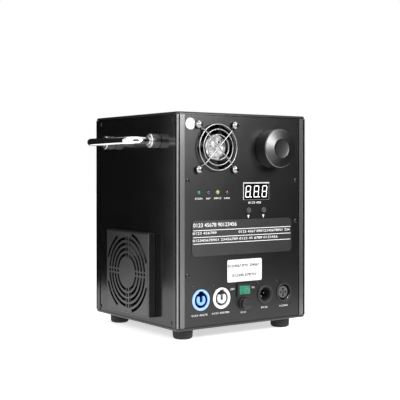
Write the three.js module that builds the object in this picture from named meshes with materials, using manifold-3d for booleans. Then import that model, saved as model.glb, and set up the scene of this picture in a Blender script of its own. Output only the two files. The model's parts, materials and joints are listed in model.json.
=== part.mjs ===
// A cold spark machine: a steel case on four rubber feet that heats metal granules and blows them
// as glowing sparks out of a nozzle in its top cover.
// Millimetres, Z up. X runs to the right along the control panel, which faces -Y. The handle side faces -X.
// The origin is the middle of the whole outline, level with the underside of the feet.

import * as THREE from 'three';
import { mergeVertices } from 'three/addons/utils/BufferGeometryUtils.js';
import Module from 'manifold-3d';

const wasm = await Module();
wasm.setup();

// Case
const caseWidth = 185.6;
const caseDepth = 183.5;
const caseHeight = 242;
const coverThickness = 3;
const coverRounding = 2.4;
const cornerRadius = 3.5;
const panelThickness = 1.5;
const panelInset = 0.8;
const studRadius = 2.5;

// Small gap left between pieces that touch, and the overrun of a cutting solid
const seat = 0.3;
const overrun = 1;

// Corner posts
const postWidth = 9.6;
const postGrooveWidth = 0.9;
const postGrooveDepth = 0.6;
const postGrooveFromCorner = 6.2;
const postFlangeWidth = 8.4;
const postReach = postWidth + postFlangeWidth;
const postFlangeThickness = 2;

// Feet
const footHeight = 12;
const footRadius = 11.7;
const footToeRadius = 11.1;
const footToeRounding = 3.4;
const footInset = 21.8;

// Panel fan and its wire guard
const panelFanPitch = 50;
const panelFanHoleMargin = 5;
const panelFanHoleRadius = 1.9;
const panelFanSize = panelFanPitch + 2 * panelFanHoleMargin;
const panelFanRim = 1.7;
const panelFanBore = panelFanSize - 2 * panelFanRim;
const panelFanLip = 2.4;
const panelFanHub = 30;
const panelFanThickness = 15;
const panelFanGap = 5;
const panelFanFromLeft = postReach + panelFanGap + panelFanSize / 2;
const panelFanAbove = 203;
const guardWire = 1.5;
const guardRingShares = [1, 0.79, 0.564];
const guardRise = 5.4;
const guardLoopRadius = 2.9;
const guardBendRun = 2.85;
const guardWeldShare = 0.6;
const guardScrewRadius = 4.4;
const guardScrewHeadHeight = 4.3;
const guardScrewShankRadius = 1.5;
const guardScrewLength = 13.5;
const screwRimShare = 0.35;
const screwCrownShare = 0.8;
const screwTopShare = 0.42;
const screwRecessShare = 0.22;
const screwFloorShare = 0.55;

// Filler neck, cap and seal
const fillerFromLeft = 131.4;
const fillerAbove = 202.3;
const neckRadius = 17.4;
const neckBore = 14.6;
const neckReach = 15.6;
const neckFlangeRadius = 21;
const neckFlangeThickness = 2;
const capRadius = 22.5;
const capThreadClearance = 0.5;
const capLift = 0.6;
const capShoulder = 1.3;
const capConeRise = 2.4;
const capDiscRadius = 11.1;
const capDishDepth = 0.8;
const capRimRounding = 1.2;
const sealThickness = 1.5;

// Indicator lamps, display and push buttons, all on one circuit board behind the control panel
const lampFromLeft = 29.2;
const lampPitch = 13.03;
const lampAbove = 152.5;
const lampRadius = 2.45;
const lampDomeRise = 1.8;
const lampCollarRadius = 3.1;
const lampCollarThickness = 1;
const lampClearance = 0.35;
const displayFromLeft = 110.3;
const displayAbove = 153;
const displayWidth = 38.4;
const displayHeight = 20.4;
const displayRise = 0.8;
const displayRim = 1.1;
const displayPocket = 0.5;
const displayClearance = 0.35;
const buttonPitch = 22.3;
const buttonAbove = 131;
const buttonRadius = 3.25;
const buttonRise = 1.6;
const buttonRounding = 0.4;
const buttonTravel = 1;
const buttonCollarRadius = 4.3;
const buttonCollarThickness = 1;
const buttonClearance = 0.4;
const buttonStemRadius = 1.8;
const tactHeight = 1.6;
const tactWidth = 6;
const boardDepth = 8.3;
const boardThickness = 1.6;
const boardFromLeft = 18;
const boardWidth = 120;
const boardAbove = 124;
const boardGap = 3;
const boardHeight = panelFanAbove - panelFanSize / 2 - boardGap - boardAbove;
const boardStudInset = 4;

// Rating plate
const plateFromLeft = 91.6;
const plateWidth = 144;
const plateHeight = 39.7;
const plateAbove = 100.95;
const plateCornerRadius = 5;
const plateThickness = 0.5;

// Power and data sockets, two of each in one row
const socketAbove = 32.5;
const powerFromLeft = 32.1;
const dataFromLeft = 123.7;
const socketPitch = 28.6;
const socketClearance = 0.3;
const socketFlangeWidth = 26;
const socketFlangeHeight = 34;
const socketFlangeThickness = 2;
const socketBodyDepth = 21;
const socketFloorThickness = 4;
const powerRadius = 11.9;
const powerRise = 0.8;
const powerBore = 8.7;
const powerKeyWidth = 6;
const powerKeyReach = 10;
const powerCoreRadius = 6.1;
const powerCoreSlotWidth = 4.4;
const powerCoreSlotDrop = 2;
const powerCoreArmRise = 4.2;
const dataRadius = 11.1;
const dataRise = 1.2;
const dataBore = 9.4;
const dataInBore = 7.8;
const dataInGroove = 1;
const dataInGrooveDepth = 0.8;
const pinRadius = 1.2;
const pinCircleRadius = 3.75;
const pinRecess = 7.5;
const dataCoreRadius = 7.2;
const dataCoreRecess = 2.4;
const dataKeyWidth = 1.1;
const contactRadius = 1.3;
const contactDepth = 12;

// Power switch and fuse holder, on one upright line
const switchFromLeft = 92.3;
const switchAbove = 39.6;
const switchBezelWidth = 20.4;
const switchBezelHeight = 15.6;
const switchBezelRise = 2;
const switchWindowWidth = 14.4;
const switchWindowHeight = 11;
const switchBodyWidth = 18.4;
const switchBodyHeight = 13.4;
const switchBodyDepth = 17;
const rockerWidth = 13.6;
const rockerHeight = 9.9;
const rockerBottomWidth = 10;
const rockerDepth = 3.6;
const rockerFlank = 0.2;
const rockerEndRise = 2.2;
const rockerMiddleRise = 0.9;
const rockerPivot = 0.8;
const rockerClearance = 0.6;
const rockerTilt = Math.PI / 18;
const fuseAbove = 24;
const fuseBaseRadius = 7;
const fuseBaseRise = 2;
const fuseNeckRadius = 5.6;
const fuseHolderDepth = 30;
const fuseBore = 3.1;
const fuseCapRadius = 6.1;
const fuseCapRise = 6.6;
const fuseCapSlotWidth = 1.4;
const fuseCapSlotDepth = 0.7;
const fuseCapPlugDepth = 4;
const fuseRadius = 2.5;
const fuseLength = 20;

// Carrying handle on the handle side
const handleFront = 40.7;
const handleSpan = 101;
const handleAbove = 210.3;
const handleReach = 35.8;
const handleRod = 8.5;
const handleBend = 12;
const ferruleRadius = 7.9;
const ferruleLength = 11.8;
const ferruleChamfer = 1;

// Vent hood and side fan
const hoodFront = 93.5;
const hoodAbove = 58;
const sideFanPitch = 82.5;
const sideFanHoleMargin = 4.75;
const sideFanHoleRadius = 2.2;
const sideFanSize = sideFanPitch + 2 * sideFanHoleMargin;
const sideFanRim = 2.5;
const sideFanBore = sideFanSize - 2 * sideFanRim;
const sideFanHub = 36;
const sideFanThickness = 25;
const hoodMargin = 1.75;
const hoodSize = sideFanSize + 2 * hoodMargin;
const hoodDepth = 9.5;
const hoodWall = 1.5;
const hoodCornerRadius = 1.5;
const slotWidth = 2.8;
const slotFirstShare = 0.2126;
const slotPitchShare = 0.066;
const slotFirstRadius = slotFirstShare * hoodSize;
const slotPitch = slotPitchShare * hoodSize;
const slotRings = 4;
const slotColumn = 4;
const slotColumnLeft = 6.2;
const slotColumnRight = 5.2;
const slotDashWidth = 2.6;
const slotDashShare = 0.7;
const slotDashFromMiddle = 3;
const slotLevelDash = 3.3;
const slotLevelBridge = 1.75;
const slotCornerLeft = 21;
const slotCornerRight = 10.8;
const slotCornerLevel = 14;

// Shape shared by both fans
const fanCornerRadius = 4;
const fanStrutThickness = 3;
const fanStrutWidth = 4;
const fanBladeCount = 7;
const fanBladeThickness = 1.4;
const fanBladeLean = Math.PI / 5;
const fanTipClearance = 1.2;
const fanHubRise = 0.5;

// Blower that drives the sparks up
const blowerRadius = 38;
const blowerShrink = 8;
const blowerWidth = 30;
const blowerWall = 1.6;
const blowerOutlet = 26;
const blowerRise = 46;
const blowerFootWidth = 34;
const blowerInletRadius = 17;
const blowerBossRadius = 6;
const blowerBossLength = 8;
const impellerRadius = 24;
const impellerBladeRadial = 6;
const impellerBladeThickness = 1.2;
const impellerBladeCount = 16;
const impellerDiscThickness = 2;

// Heater tube, nozzle tube and nozzle ring on one upright axis
const heaterRadius = 15;
const heaterWall = 2;
const heaterLength = 84;
const heaterFlangeRadius = 19;
const heaterFlangeThickness = 2;
const sleeveRadius = 26;
const sleeveLength = 66;
const nozzleTubeRadius = 14;
const nozzleTubeWall = 1.5;
const nozzleRingRadius = 30;
const nozzleRingHeight = 4;
const nozzleRingRounding = 1.2;
const nozzleTubeDrop = 0.6;

// Granule feed
const feedAboveBlower = 16;
const feedTubeRadius = 10;
const feedTubeWall = 2;
const feedTubeLength = 45;
const feedPortRadius = 6.4;
const augerShaftRadius = 2.6;
const augerRadius = 7.4;
const augerPitch = 9;
const augerTurns = 4;
const augerThickness = 1.2;
const augerEndGap = 2;
const motorRadius = 12.5;
const motorLength = 23;
const motorBoreDepth = 8;
const hopperWall = 1.5;
const hopperDepth = 34;
const hopperHeadroom = 8;
const hopperSideRoom = 6;
const hopperLeftReach = 18;
const hopperThroat = 7.5;
const hopperSlope = 28;
const hopperLeftSlope = 10;
const hopperSpoutRadius = 8;
const hopperSpoutLength = 5;
const hopperBehindFeed = 1;

// Power supply on the base plate and driver board on the plain side panel
const supplyWidth = 62;
const supplyLength = 110;
const supplyHeight = 36;
const supplyFromRight = 14;
const driverWidth = 100;
const driverHeight = 110;
const driverAbove = 60;
const driverStand = 7;
const relayWidth = 20;
const relayHeight = 14;
const relayDepth = 15;

// Facets of a full turn
const coarseSteps = 12;
const middleSteps = 20;
const fineSteps = 32;
const filletSteps = 2;
const wireSides = 5;
const rodSides = 10;

// Finishes
function finish(color, roughness, metalness) {
  return new THREE.MeshStandardMaterial({ color, roughness, metalness });
}
const blackCoat = finish(0x1b1b1c, 0.45, 0.2);
const blackPlastic = finish(0x141415, 0.4, 0);
const rubber = finish(0x0f0f10, 0.85, 0);
const chrome = finish(0xd8d8da, 0.12, 1);
const ferruleGrey = finish(0x8a8b8d, 0.35, 0.9);
const steel = finish(0xb4b4b6, 0.35, 1);
const boardGreen = finish(0x1d4a2c, 0.6, 0);
const ceramic = finish(0xd9d2c2, 0.9, 0);

// Solids and shapes
function solidOf(geometry) {
  const bare = geometry.clone();
  bare.deleteAttribute('normal');
  bare.deleteAttribute('uv');
  const merged = mergeVertices(bare);
  const corners = merged.index.array;
  const kept = [];
  for (let i = 0; i < corners.length; i += 3) {
    const [a, b, c] = [corners[i], corners[i + 1], corners[i + 2]];
    if (a !== b && b !== c && c !== a) kept.push(a, b, c);
  }
  const vertProperties = new Float32Array(merged.attributes.position.array);
  return new wasm.Manifold(new wasm.Mesh({ numProp: 3, vertProperties, triVerts: new Uint32Array(kept) }));
}

function geometryOf(solid) {
  const mesh = solid.getMesh();
  const geometry = new THREE.BufferGeometry();
  geometry.setAttribute('position', new THREE.BufferAttribute(new Float32Array(mesh.vertProperties), 3));
  geometry.setIndex(new THREE.BufferAttribute(new Uint32Array(mesh.triVerts), 1));
  return geometry;
}

function join(...geometries) {
  return geometries.map(solidOf).reduce((whole, piece) => whole.add(piece));
}

function cut(solid, ...geometries) {
  return geometries.map(solidOf).reduce((whole, piece) => whole.subtract(piece), solid);
}

// A block that stands on height z and is centred on x and y
function block(width, depth, height, x = 0, y = 0, z = 0) {
  return new THREE.BoxGeometry(width, depth, height).translate(x, y, z + height / 2);
}

// A round bar along Z that stands on height z
function bar(radius, height, steps, x = 0, y = 0, z = 0) {
  const round = new THREE.CylinderGeometry(radius, radius, height, steps);
  return round.rotateX(Math.PI / 2).translate(x, y, z + height / 2);
}

// A solid of revolution about Z from [radius, height] points, given with the outside going up
function turned(points, steps) {
  const profile = points.map(([radius, height]) => new THREE.Vector2(radius, height));
  return new THREE.LatheGeometry(profile, steps).rotateX(Math.PI / 2);
}

// A plain tube along Z from height z
function pipe(outer, inner, height, steps, z = 0) {
  const points = [[inner, z], [outer, z], [outer, z + height], [inner, z + height], [inner, z]];
  return turned(points, steps);
}

// A flat shape given a thickness, upward from height z
function slab(shape, thickness, z = 0) {
  const options = { depth: thickness, bevelEnabled: false, curveSegments: filletSteps };
  return new THREE.ExtrudeGeometry(shape, options).translate(0, 0, z);
}

function roundedRectangle(width, height, radius, x = 0, y = 0) {
  const [left, right, low, high] = [x - width / 2, x + width / 2, y - height / 2, y + height / 2];
  const shape = new THREE.Shape();
  shape.moveTo(left + radius, low);
  shape.lineTo(right - radius, low);
  shape.absarc(right - radius, low + radius, radius, -Math.PI / 2, 0, false);
  shape.lineTo(right, high - radius);
  shape.absarc(right - radius, high - radius, radius, 0, Math.PI / 2, false);
  shape.lineTo(left + radius, high);
  shape.absarc(left + radius, high - radius, radius, Math.PI / 2, Math.PI, false);
  shape.lineTo(left, low + radius);
  shape.absarc(left + radius, low + radius, radius, Math.PI, 1.5 * Math.PI, false);
  return shape;
}

function rectangle(width, height, x = 0, y = 0) {
  const [left, right, low, high] = [x - width / 2, x + width / 2, y - height / 2, y + height / 2];
  return new THREE.Shape([[left, low], [right, low], [right, high], [left, high]].map(([a, b]) =>
    new THREE.Vector2(a, b)));
}

// A round wire or rod swept along a curve
function wire(curve, radius, sides, steps) {
  const section = new THREE.Shape();
  section.absarc(0, 0, radius, 0, 2 * Math.PI, false);
  const options = { extrudePath: curve, steps, curveSegments: sides / 2, bevelEnabled: false };
  return new THREE.ExtrudeGeometry(section, options);
}

// Groups that carry the pieces
const model = new THREE.Group();
const machine = new THREE.Group();
model.add(machine);

// A face of the case: x to the right as seen from outside, y up from the case's underside, z outward
function facePlane(turn, span) {
  const plane = new THREE.Group();
  const reach = span / 2 - panelInset;
  plane.rotation.set(Math.PI / 2, 0, turn, 'ZXY');
  plane.position.set(Math.sin(turn) * reach, -Math.cos(turn) * reach, footHeight);
  machine.add(plane);
  return plane;
}

const controlSide = facePlane(0, caseDepth);
const plainSide = facePlane(Math.PI / 2, caseWidth);
const backSide = facePlane(Math.PI, caseDepth);
const handleSide = facePlane(-Math.PI / 2, caseWidth);
const inside = new THREE.Group();
inside.position.z = footHeight;
machine.add(inside);

function part(group, name, solid, material, x = 0, y = 0, z = 0) {
  const mesh = new THREE.Mesh(geometryOf(solid), material);
  mesh.name = name;
  mesh.position.set(x, y, z);
  group.add(mesh);
  return mesh;
}

// Places on the control panel and the handle side, from the left or front edge of the case
const fromLeft = (distance) => distance - caseWidth / 2;
const fromFront = (distance) => caseDepth / 2 - distance;
const panelBack = -panelThickness - seat;
const floorTop = coverThickness + seat;
const panelFanX = fromLeft(panelFanFromLeft);
const fillerX = fromLeft(fillerFromLeft);
const displayX = fromLeft(displayFromLeft);
const switchX = fromLeft(switchFromLeft);
const hoodX = fromFront(hoodFront);
const lampPlaces = [0, 1, 2, 3].map((i) => fromLeft(lampFromLeft + i * lampPitch));
const buttonPlaces = [-1, 1].map((side) => displayX + (side * buttonPitch) / 2);
const powerPlaces = [0, 1].map((i) => fromLeft(powerFromLeft + i * socketPitch));
const dataPlaces = [0, 1].map((i) => fromLeft(dataFromLeft + i * socketPitch));
const cornerSigns = [[-1, -1], [1, -1], [1, 1], [-1, 1]];

// Covers: one rounded plate, used as the base plate and, with the nozzle opening, as the top cover
function roundedCover() {
  const inset = roundedRectangle(
    caseWidth - 2 * coverRounding, caseDepth - 2 * coverRounding, cornerRadius - coverRounding);
  const options = {
    depth: coverThickness, bevelEnabled: true, bevelThickness: coverRounding,
    bevelSize: coverRounding, bevelSegments: 3, curveSegments: filletSteps,
  };
  const blank = new THREE.ExtrudeGeometry(inset, options).translate(0, 0, -coverRounding);
  const below = coverThickness + 2 * coverRounding;
  return cut(solidOf(blank), block(caseWidth + overrun, caseDepth + overrun, below, 0, 0, -below));
}

const cover = roundedCover();
const nozzleOpening = bar(
  nozzleTubeRadius + seat, coverThickness + 2 * overrun, fineSteps, 0, 0, -overrun);
part(inside, 'top_cover', cut(cover, nozzleOpening), blackCoat, 0, 0, caseHeight - coverThickness);
part(inside, 'base_plate', cover, blackCoat, 0, 0, coverThickness).rotation.x = Math.PI;

// Corner posts: a rounded nose with one groove a side, and two flanges that the panels are screwed to
function postShape() {
  const flangeNear = panelInset + panelThickness + seat;
  const flangeFar = flangeNear + postFlangeThickness;
  const grooveEnd = postGrooveFromCorner + postGrooveWidth;
  const half = [
    [cornerRadius, 0], [postGrooveFromCorner, 0], [postGrooveFromCorner, postGrooveDepth],
    [grooveEnd, postGrooveDepth], [grooveEnd, 0], [postWidth, 0], [postWidth, flangeNear],
    [postReach, flangeNear], [postReach, flangeFar], [postWidth, flangeFar],
  ];
  const mirrored = half.map(([x, y]) => [y, x]).reverse();
  const shape = new THREE.Shape();
  const outline = [...half, [postWidth, postWidth], ...mirrored];
  outline.forEach(([x, y], i) => (i === 0 ? shape.moveTo(x, y) : shape.lineTo(x, y)));
  shape.absarc(cornerRadius, cornerRadius, cornerRadius, Math.PI, 1.5 * Math.PI, false);
  return shape;
}

const wallHeight = caseHeight - 2 * coverThickness - 2 * seat;
const post = solidOf(slab(postShape(), wallHeight));
['front_left', 'front_right', 'back_right', 'back_left'].forEach((corner, i) => {
  const [sideX, sideY] = cornerSigns[i];
  const mesh = part(inside, `corner_post_${corner}`, post, blackCoat,
    (sideX * caseWidth) / 2, (sideY * caseDepth) / 2, floorTop);
  mesh.rotation.z = (i * Math.PI) / 2;
});

// Feet
const toeMiddle = footToeRounding * (1 - Math.SQRT1_2);
const footProfile = [
  [0, 0], [footToeRadius - footToeRounding, 0], [footToeRadius - toeMiddle, toeMiddle],
  [footToeRadius, footToeRounding], [footRadius, footHeight], [0, footHeight],
];
const foot = solidOf(turned(footProfile, middleSteps));
['front_left', 'front_right', 'back_right', 'back_left'].forEach((corner, i) => {
  const [sideX, sideY] = cornerSigns[i];
  part(machine, `foot_${corner}`, foot, rubber,
    sideX * (caseWidth / 2 - footInset), sideY * (caseDepth / 2 - footInset));
});

// Panels between the posts
function panelShape(span) {
  return rectangle(span - 2 * postWidth - 2 * seat, wallHeight, 0, caseHeight / 2);
}

function roundHole(shape, radius, steps, x = 0, y = 0) {
  const circle = new THREE.EllipseCurve(x, y, radius, radius, 0, 2 * Math.PI, true);
  shape.holes.push(new THREE.Path(circle.getPoints(steps).slice(1)));
}

// Studs on the inner side of a panel, up to a circuit board that lies at the given depth
function studs(places, depth) {
  const root = panelThickness / 2;
  const length = depth - seat - root;
  return places.map(([x, y]) => bar(studRadius, length, coarseSteps, x, y, -depth + seat));
}

function cornersOf(width, height, x, y) {
  return cornerSigns.map(([sideX, sideY]) => [x + (sideX * width) / 2, y + (sideY * height) / 2]);
}

const boardX = fromLeft(boardFromLeft) + boardWidth / 2;
const boardY = boardAbove + boardHeight / 2;
const boardStuds = cornersOf(
  boardWidth - 2 * boardStudInset, boardHeight - 2 * boardStudInset, boardX, boardY);
const driverY = driverAbove + driverHeight / 2;
const driverStuds = cornersOf(
  driverWidth - 2 * boardStudInset, driverHeight - 2 * boardStudInset, 0, driverY);

function controlPanel() {
  const shape = panelShape(caseWidth);
  roundHole(shape, panelFanBore / 2 - panelFanLip, fineSteps, panelFanX, panelFanAbove);
  cornersOf(panelFanPitch, panelFanPitch, panelFanX, panelFanAbove).forEach(([x, y]) =>
    roundHole(shape, panelFanHoleRadius, coarseSteps, x, y));
  roundHole(shape, neckRadius + seat, middleSteps, fillerX, fillerAbove);
  lampPlaces.forEach((x) => roundHole(shape, lampRadius + lampClearance, coarseSteps, x, lampAbove));
  buttonPlaces.forEach((x) => roundHole(shape, buttonRadius + buttonClearance, coarseSteps, x, buttonAbove));
  powerPlaces.forEach((x) => roundHole(shape, powerRadius + socketClearance, middleSteps, x, socketAbove));
  dataPlaces.forEach((x) => roundHole(shape, dataRadius + socketClearance, middleSteps, x, socketAbove));
  roundHole(shape, fuseNeckRadius + seat, coarseSteps, switchX, fuseAbove);
  shape.holes.push(rectangle(
    displayWidth + 2 * displayClearance, displayHeight + 2 * displayClearance, displayX, displayAbove));
  shape.holes.push(rectangle(switchBodyWidth + 2 * seat, switchBodyHeight + 2 * seat, switchX, switchAbove));
  return join(slab(shape, panelThickness, -panelThickness), ...studs(boardStuds, boardDepth));
}

function handleSidePanel() {
  const shape = panelShape(caseDepth);
  roundHole(shape, sideFanBore / 2, fineSteps, hoodX, hoodAbove);
  return solidOf(slab(shape, panelThickness, -panelThickness));
}

const plainSheet = (span) => slab(panelShape(span), panelThickness, -panelThickness);
part(controlSide, 'control_panel', controlPanel(), blackCoat);
part(handleSide, 'handle_side_panel', handleSidePanel(), blackCoat);
part(backSide, 'back_panel', solidOf(plainSheet(caseWidth)), blackCoat);
part(plainSide, 'plain_side_panel',
  join(plainSheet(caseDepth), ...studs(driverStuds, driverStand)), blackCoat);

// Fans: a square frame behind z = 0, with three struts at the back that carry the rotor
function fanFrame(size, thickness, bore, hub, pitch, holeRadius) {
  const shape = roundedRectangle(size, size, fanCornerRadius);
  roundHole(shape, bore / 2, fineSteps);
  cornersOf(pitch, pitch, 0, 0).forEach(([x, y]) => roundHole(shape, holeRadius, coarseSteps, x, y));
  const reach = bore / 2 + overrun;
  const struts = [0, 1, 2].map((i) =>
    block(reach, fanStrutWidth, fanStrutThickness, reach / 2, 0, -thickness).rotateZ((2 * Math.PI * i) / 3));
  const hubPlate = bar(hub / 2, fanStrutThickness, middleSteps, 0, 0, -thickness);
  return join(slab(shape, thickness, -thickness), hubPlate, ...struts);
}

function fanRotor(thickness, bore, hub) {
  const low = -thickness + fanStrutThickness + seat;
  const height = fanHubRise - low;
  const root = hub / 2 - overrun;
  const widest = (2 * Math.PI * root) / fanBladeCount / Math.cos(fanBladeLean);
  const tallest = (height - fanBladeThickness) / Math.sin(fanBladeLean);
  const chord = Math.min(widest, tallest);
  const halfSweep = (chord * Math.cos(fanBladeLean) + fanBladeThickness) / 2;
  const tip = Math.sqrt((bore / 2 - fanTipClearance) ** 2 - halfSweep ** 2);
  const blades = Array.from({ length: fanBladeCount }, (_, i) =>
    new THREE.BoxGeometry(tip - root, chord, fanBladeThickness)
      .rotateX(fanBladeLean)
      .translate((tip + root) / 2, 0, low + height / 2)
      .rotateZ((2 * Math.PI * i) / fanBladeCount));
  return join(bar(hub / 2, height, middleSteps, 0, 0, low), ...blades);
}

part(controlSide, 'panel_fan_frame',
  fanFrame(panelFanSize, panelFanThickness, panelFanBore, panelFanHub, panelFanPitch, panelFanHoleRadius),
  blackPlastic, panelFanX, panelFanAbove, panelBack);
part(controlSide, 'panel_fan_rotor', fanRotor(panelFanThickness, panelFanBore, panelFanHub),
  blackPlastic, panelFanX, panelFanAbove, panelBack);
part(handleSide, 'side_fan_frame',
  fanFrame(sideFanSize, sideFanThickness, sideFanBore, sideFanHub, sideFanPitch, sideFanHoleRadius),
  blackPlastic, hoodX, hoodAbove, panelBack);
part(handleSide, 'side_fan_rotor', fanRotor(sideFanThickness, sideFanBore, sideFanHub),
  blackPlastic, hoodX, hoodAbove, panelBack);

// Wire fan guard: rings welded under two crossed wires that step down to a loop at each corner
function fanGuard() {
  const radius = guardWire / 2;
  const loopRise = seat + radius;
  const corner = panelFanPitch / Math.sqrt(2);
  const end = corner - guardLoopRadius;
  const ringRise = guardRise - guardWeldShare * guardWire;
  const step = corner - guardScrewRadius - guardWire;
  const flat = step - guardBendRun;
  const rings = guardRingShares.map((share) =>
    new THREE.TorusGeometry(share * flat - radius, radius, wireSides, middleSteps).translate(0, 0, ringRise));
  const half = [[end, loopRise], [step, loopRise], [flat, guardRise]];
  const points = [...half.map(([x, z]) => [-x, z]), ...half.reverse()];
  const stretches = points.slice(1).map(([x, z], i) => {
    const from = new THREE.Vector3(points[i][0], 0, points[i][1]);
    return new THREE.LineCurve3(from, new THREE.Vector3(x, 0, z));
  });
  const cross = [1, 3].flatMap((eighth) =>
    stretches.map((line) => wire(line, radius, wireSides, 1).rotateZ((eighth * Math.PI) / 4)));
  const loops = cornersOf(panelFanPitch, panelFanPitch, 0, 0).map(([x, y]) =>
    new THREE.TorusGeometry(guardLoopRadius, radius, wireSides, coarseSteps).translate(x, y, loopRise));
  return join(...rings, ...cross, ...loops);
}

// Pan-head screw of the guard, with a cross recess
function guardScrew() {
  const low = 2 * seat + guardWire;
  const high = low + guardScrewHeadHeight;
  const foot = high - guardScrewLength;
  const rise = (share) => low + share * guardScrewHeadHeight;
  const head = [
    [0, foot], [guardScrewShankRadius, foot], [guardScrewShankRadius, low], [guardScrewRadius, low],
    [guardScrewRadius, rise(screwRimShare)], [guardScrewRadius * screwCrownShare, rise(screwCrownShare)],
    [guardScrewRadius * screwTopShare, high], [0, high],
  ];
  const recess = [[1, screwRecessShare], [screwRecessShare, 1]].map(([wide, deep]) => block(
    wide * guardScrewRadius, deep * guardScrewRadius, guardScrewHeadHeight, 0, 0, rise(screwFloorShare)));
  return cut(solidOf(turned(head, coarseSteps)), ...recess);
}

part(controlSide, 'fan_guard', fanGuard(), chrome, panelFanX, panelFanAbove);
const screw = guardScrew();
cornersOf(panelFanPitch, panelFanPitch, panelFanX, panelFanAbove).forEach(([x, y], i) =>
  part(controlSide, `guard_screw_${i + 1}`, screw, chrome, x, y));

// Filler: a neck from the hopper out through the control panel, a seal, and a screwed cap over both
const heaterGap = heaterRadius + seat;
const hopperY = -(sleeveRadius + hopperBehindFeed + hopperDepth / 2);
const controlFace = caseDepth / 2 - panelInset;
const hopperFrontDepth = controlFace + hopperY - hopperDepth / 2;
const neckLength = neckReach + hopperFrontDepth - seat;
const neckFlange = pipe(
  neckFlangeRadius, neckBore, neckFlangeThickness, middleSteps, panelBack - neckFlangeThickness);
part(controlSide, 'filler_neck',
  join(pipe(neckRadius, neckBore, neckLength, middleSteps, neckReach - neckLength), neckFlange),
  blackPlastic, fillerX, fillerAbove);
part(controlSide, 'cap_seal',
  solidOf(pipe(neckRadius, neckBore, sealThickness, middleSteps, neckReach + seat)),
  rubber, fillerX, fillerAbove);

const capBore = neckRadius + capThreadClearance;
const capCeiling = neckReach + sealThickness + 2 * seat;
const capWallTop = capCeiling + capShoulder;
const capTop = capWallTop + capConeRise;
const capProfile = [
  [0, capCeiling], [capBore, capCeiling], [capBore, capLift], [capRadius, capLift],
  [capRadius, capWallTop - capRimRounding], [capRadius - capRimRounding / 3, capWallTop - capRimRounding / 3],
  [capRadius - capRimRounding, capWallTop], [capDiscRadius, capTop],
  [capDiscRadius - capDishDepth, capTop - capDishDepth / 2], [0, capTop - capDishDepth],
];
part(controlSide, 'filler_cap', solidOf(turned(capProfile, fineSteps)), blackPlastic, fillerX, fillerAbove);

// Indicator lamps
function lamp() {
  const domeStart = lampDomeRise - lampRadius;
  const collarLow = panelBack - lampCollarThickness;
  const dome = [0, 1, 2, 3].map((i) => {
    const angle = (i * Math.PI) / 6;
    return [lampRadius * Math.cos(angle), domeStart + lampRadius * Math.sin(angle)];
  });
  dome[3] = [0, lampDomeRise];
  const foot = -boardDepth + seat;
  return solidOf(turned([
    [0, foot], [lampRadius, foot], [lampRadius, collarLow], [lampCollarRadius, collarLow],
    [lampCollarRadius, panelBack], [lampRadius, panelBack], ...dome,
  ], coarseSteps));
}

const lampColours = { green: 0x2f9d8c, blue: 0x24358f, yellow: 0xd8dc7a, red: 0x7d2f3f };
Object.entries(lampColours).forEach(([colour, tint], i) =>
  part(controlSide, `lamp_${colour}`, lamp(), finish(tint, 0.2, 0), lampPlaces[i], lampAbove));

// Display module, a block with a sunk window
const displayDepth = boardDepth - seat + displayRise;
const displayPocketBlock = block(displayWidth - 2 * displayRim, displayHeight - 2 * displayRim,
  displayPocket + overrun, 0, 0, displayRise - displayPocket);
part(controlSide, 'display',
  cut(solidOf(block(displayWidth, displayHeight, displayDepth, 0, 0, displayRise - displayDepth)),
    displayPocketBlock),
  blackPlastic, displayX, displayAbove);

// Push buttons, with a collar behind the panel and a stem over the switch on the board
const tactTop = -boardDepth + tactHeight;
const buttonFoot = tactTop + buttonTravel + seat;
const buttonProfile = [
  [0, buttonFoot], [buttonStemRadius, buttonFoot], [buttonStemRadius, panelBack - buttonCollarThickness],
  [buttonCollarRadius, panelBack - buttonCollarThickness], [buttonCollarRadius, panelBack],
  [buttonRadius, panelBack], [buttonRadius, buttonRise - buttonRounding],
  [buttonRadius - buttonRounding, buttonRise], [0, buttonRise],
];
const button = solidOf(turned(buttonProfile, coarseSteps));
['left', 'right'].forEach((side, i) =>
  part(controlSide, `button_${side}`, button, blackPlastic, buttonPlaces[i], buttonAbove));

const tacts = buttonPlaces.map((x) =>
  block(tactWidth, tactWidth, tactHeight + boardThickness, x, buttonAbove, -boardDepth - boardThickness));
const board = block(boardWidth, boardHeight, boardThickness, boardX, boardY, -boardDepth - boardThickness);
part(controlSide, 'control_board', join(board, ...tacts), boardGreen);

// Rating plate, left bare
part(controlSide, 'rating_plate',
  solidOf(slab(roundedRectangle(plateWidth, plateHeight, plateCornerRadius), plateThickness, seat)),
  finish(0x484848, 0.5, 0), fromLeft(plateFromLeft), plateAbove);

// Sockets: a barrel through the panel on a flange behind it, bored from the front
const socketFloor = -socketBodyDepth + socketFloorThickness;

function socketBlank(radius, rise, bore) {
  const barrel = bar(radius, socketBodyDepth + rise, middleSteps, 0, 0, -socketBodyDepth);
  const flange = block(
    socketFlangeWidth, socketFlangeHeight, socketFlangeThickness, 0, 0, panelBack - socketFlangeThickness);
  const hollow = bar(bore, rise + overrun - socketFloor, middleSteps, 0, 0, socketFloor);
  return cut(join(barrel, flange), hollow);
}

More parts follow.
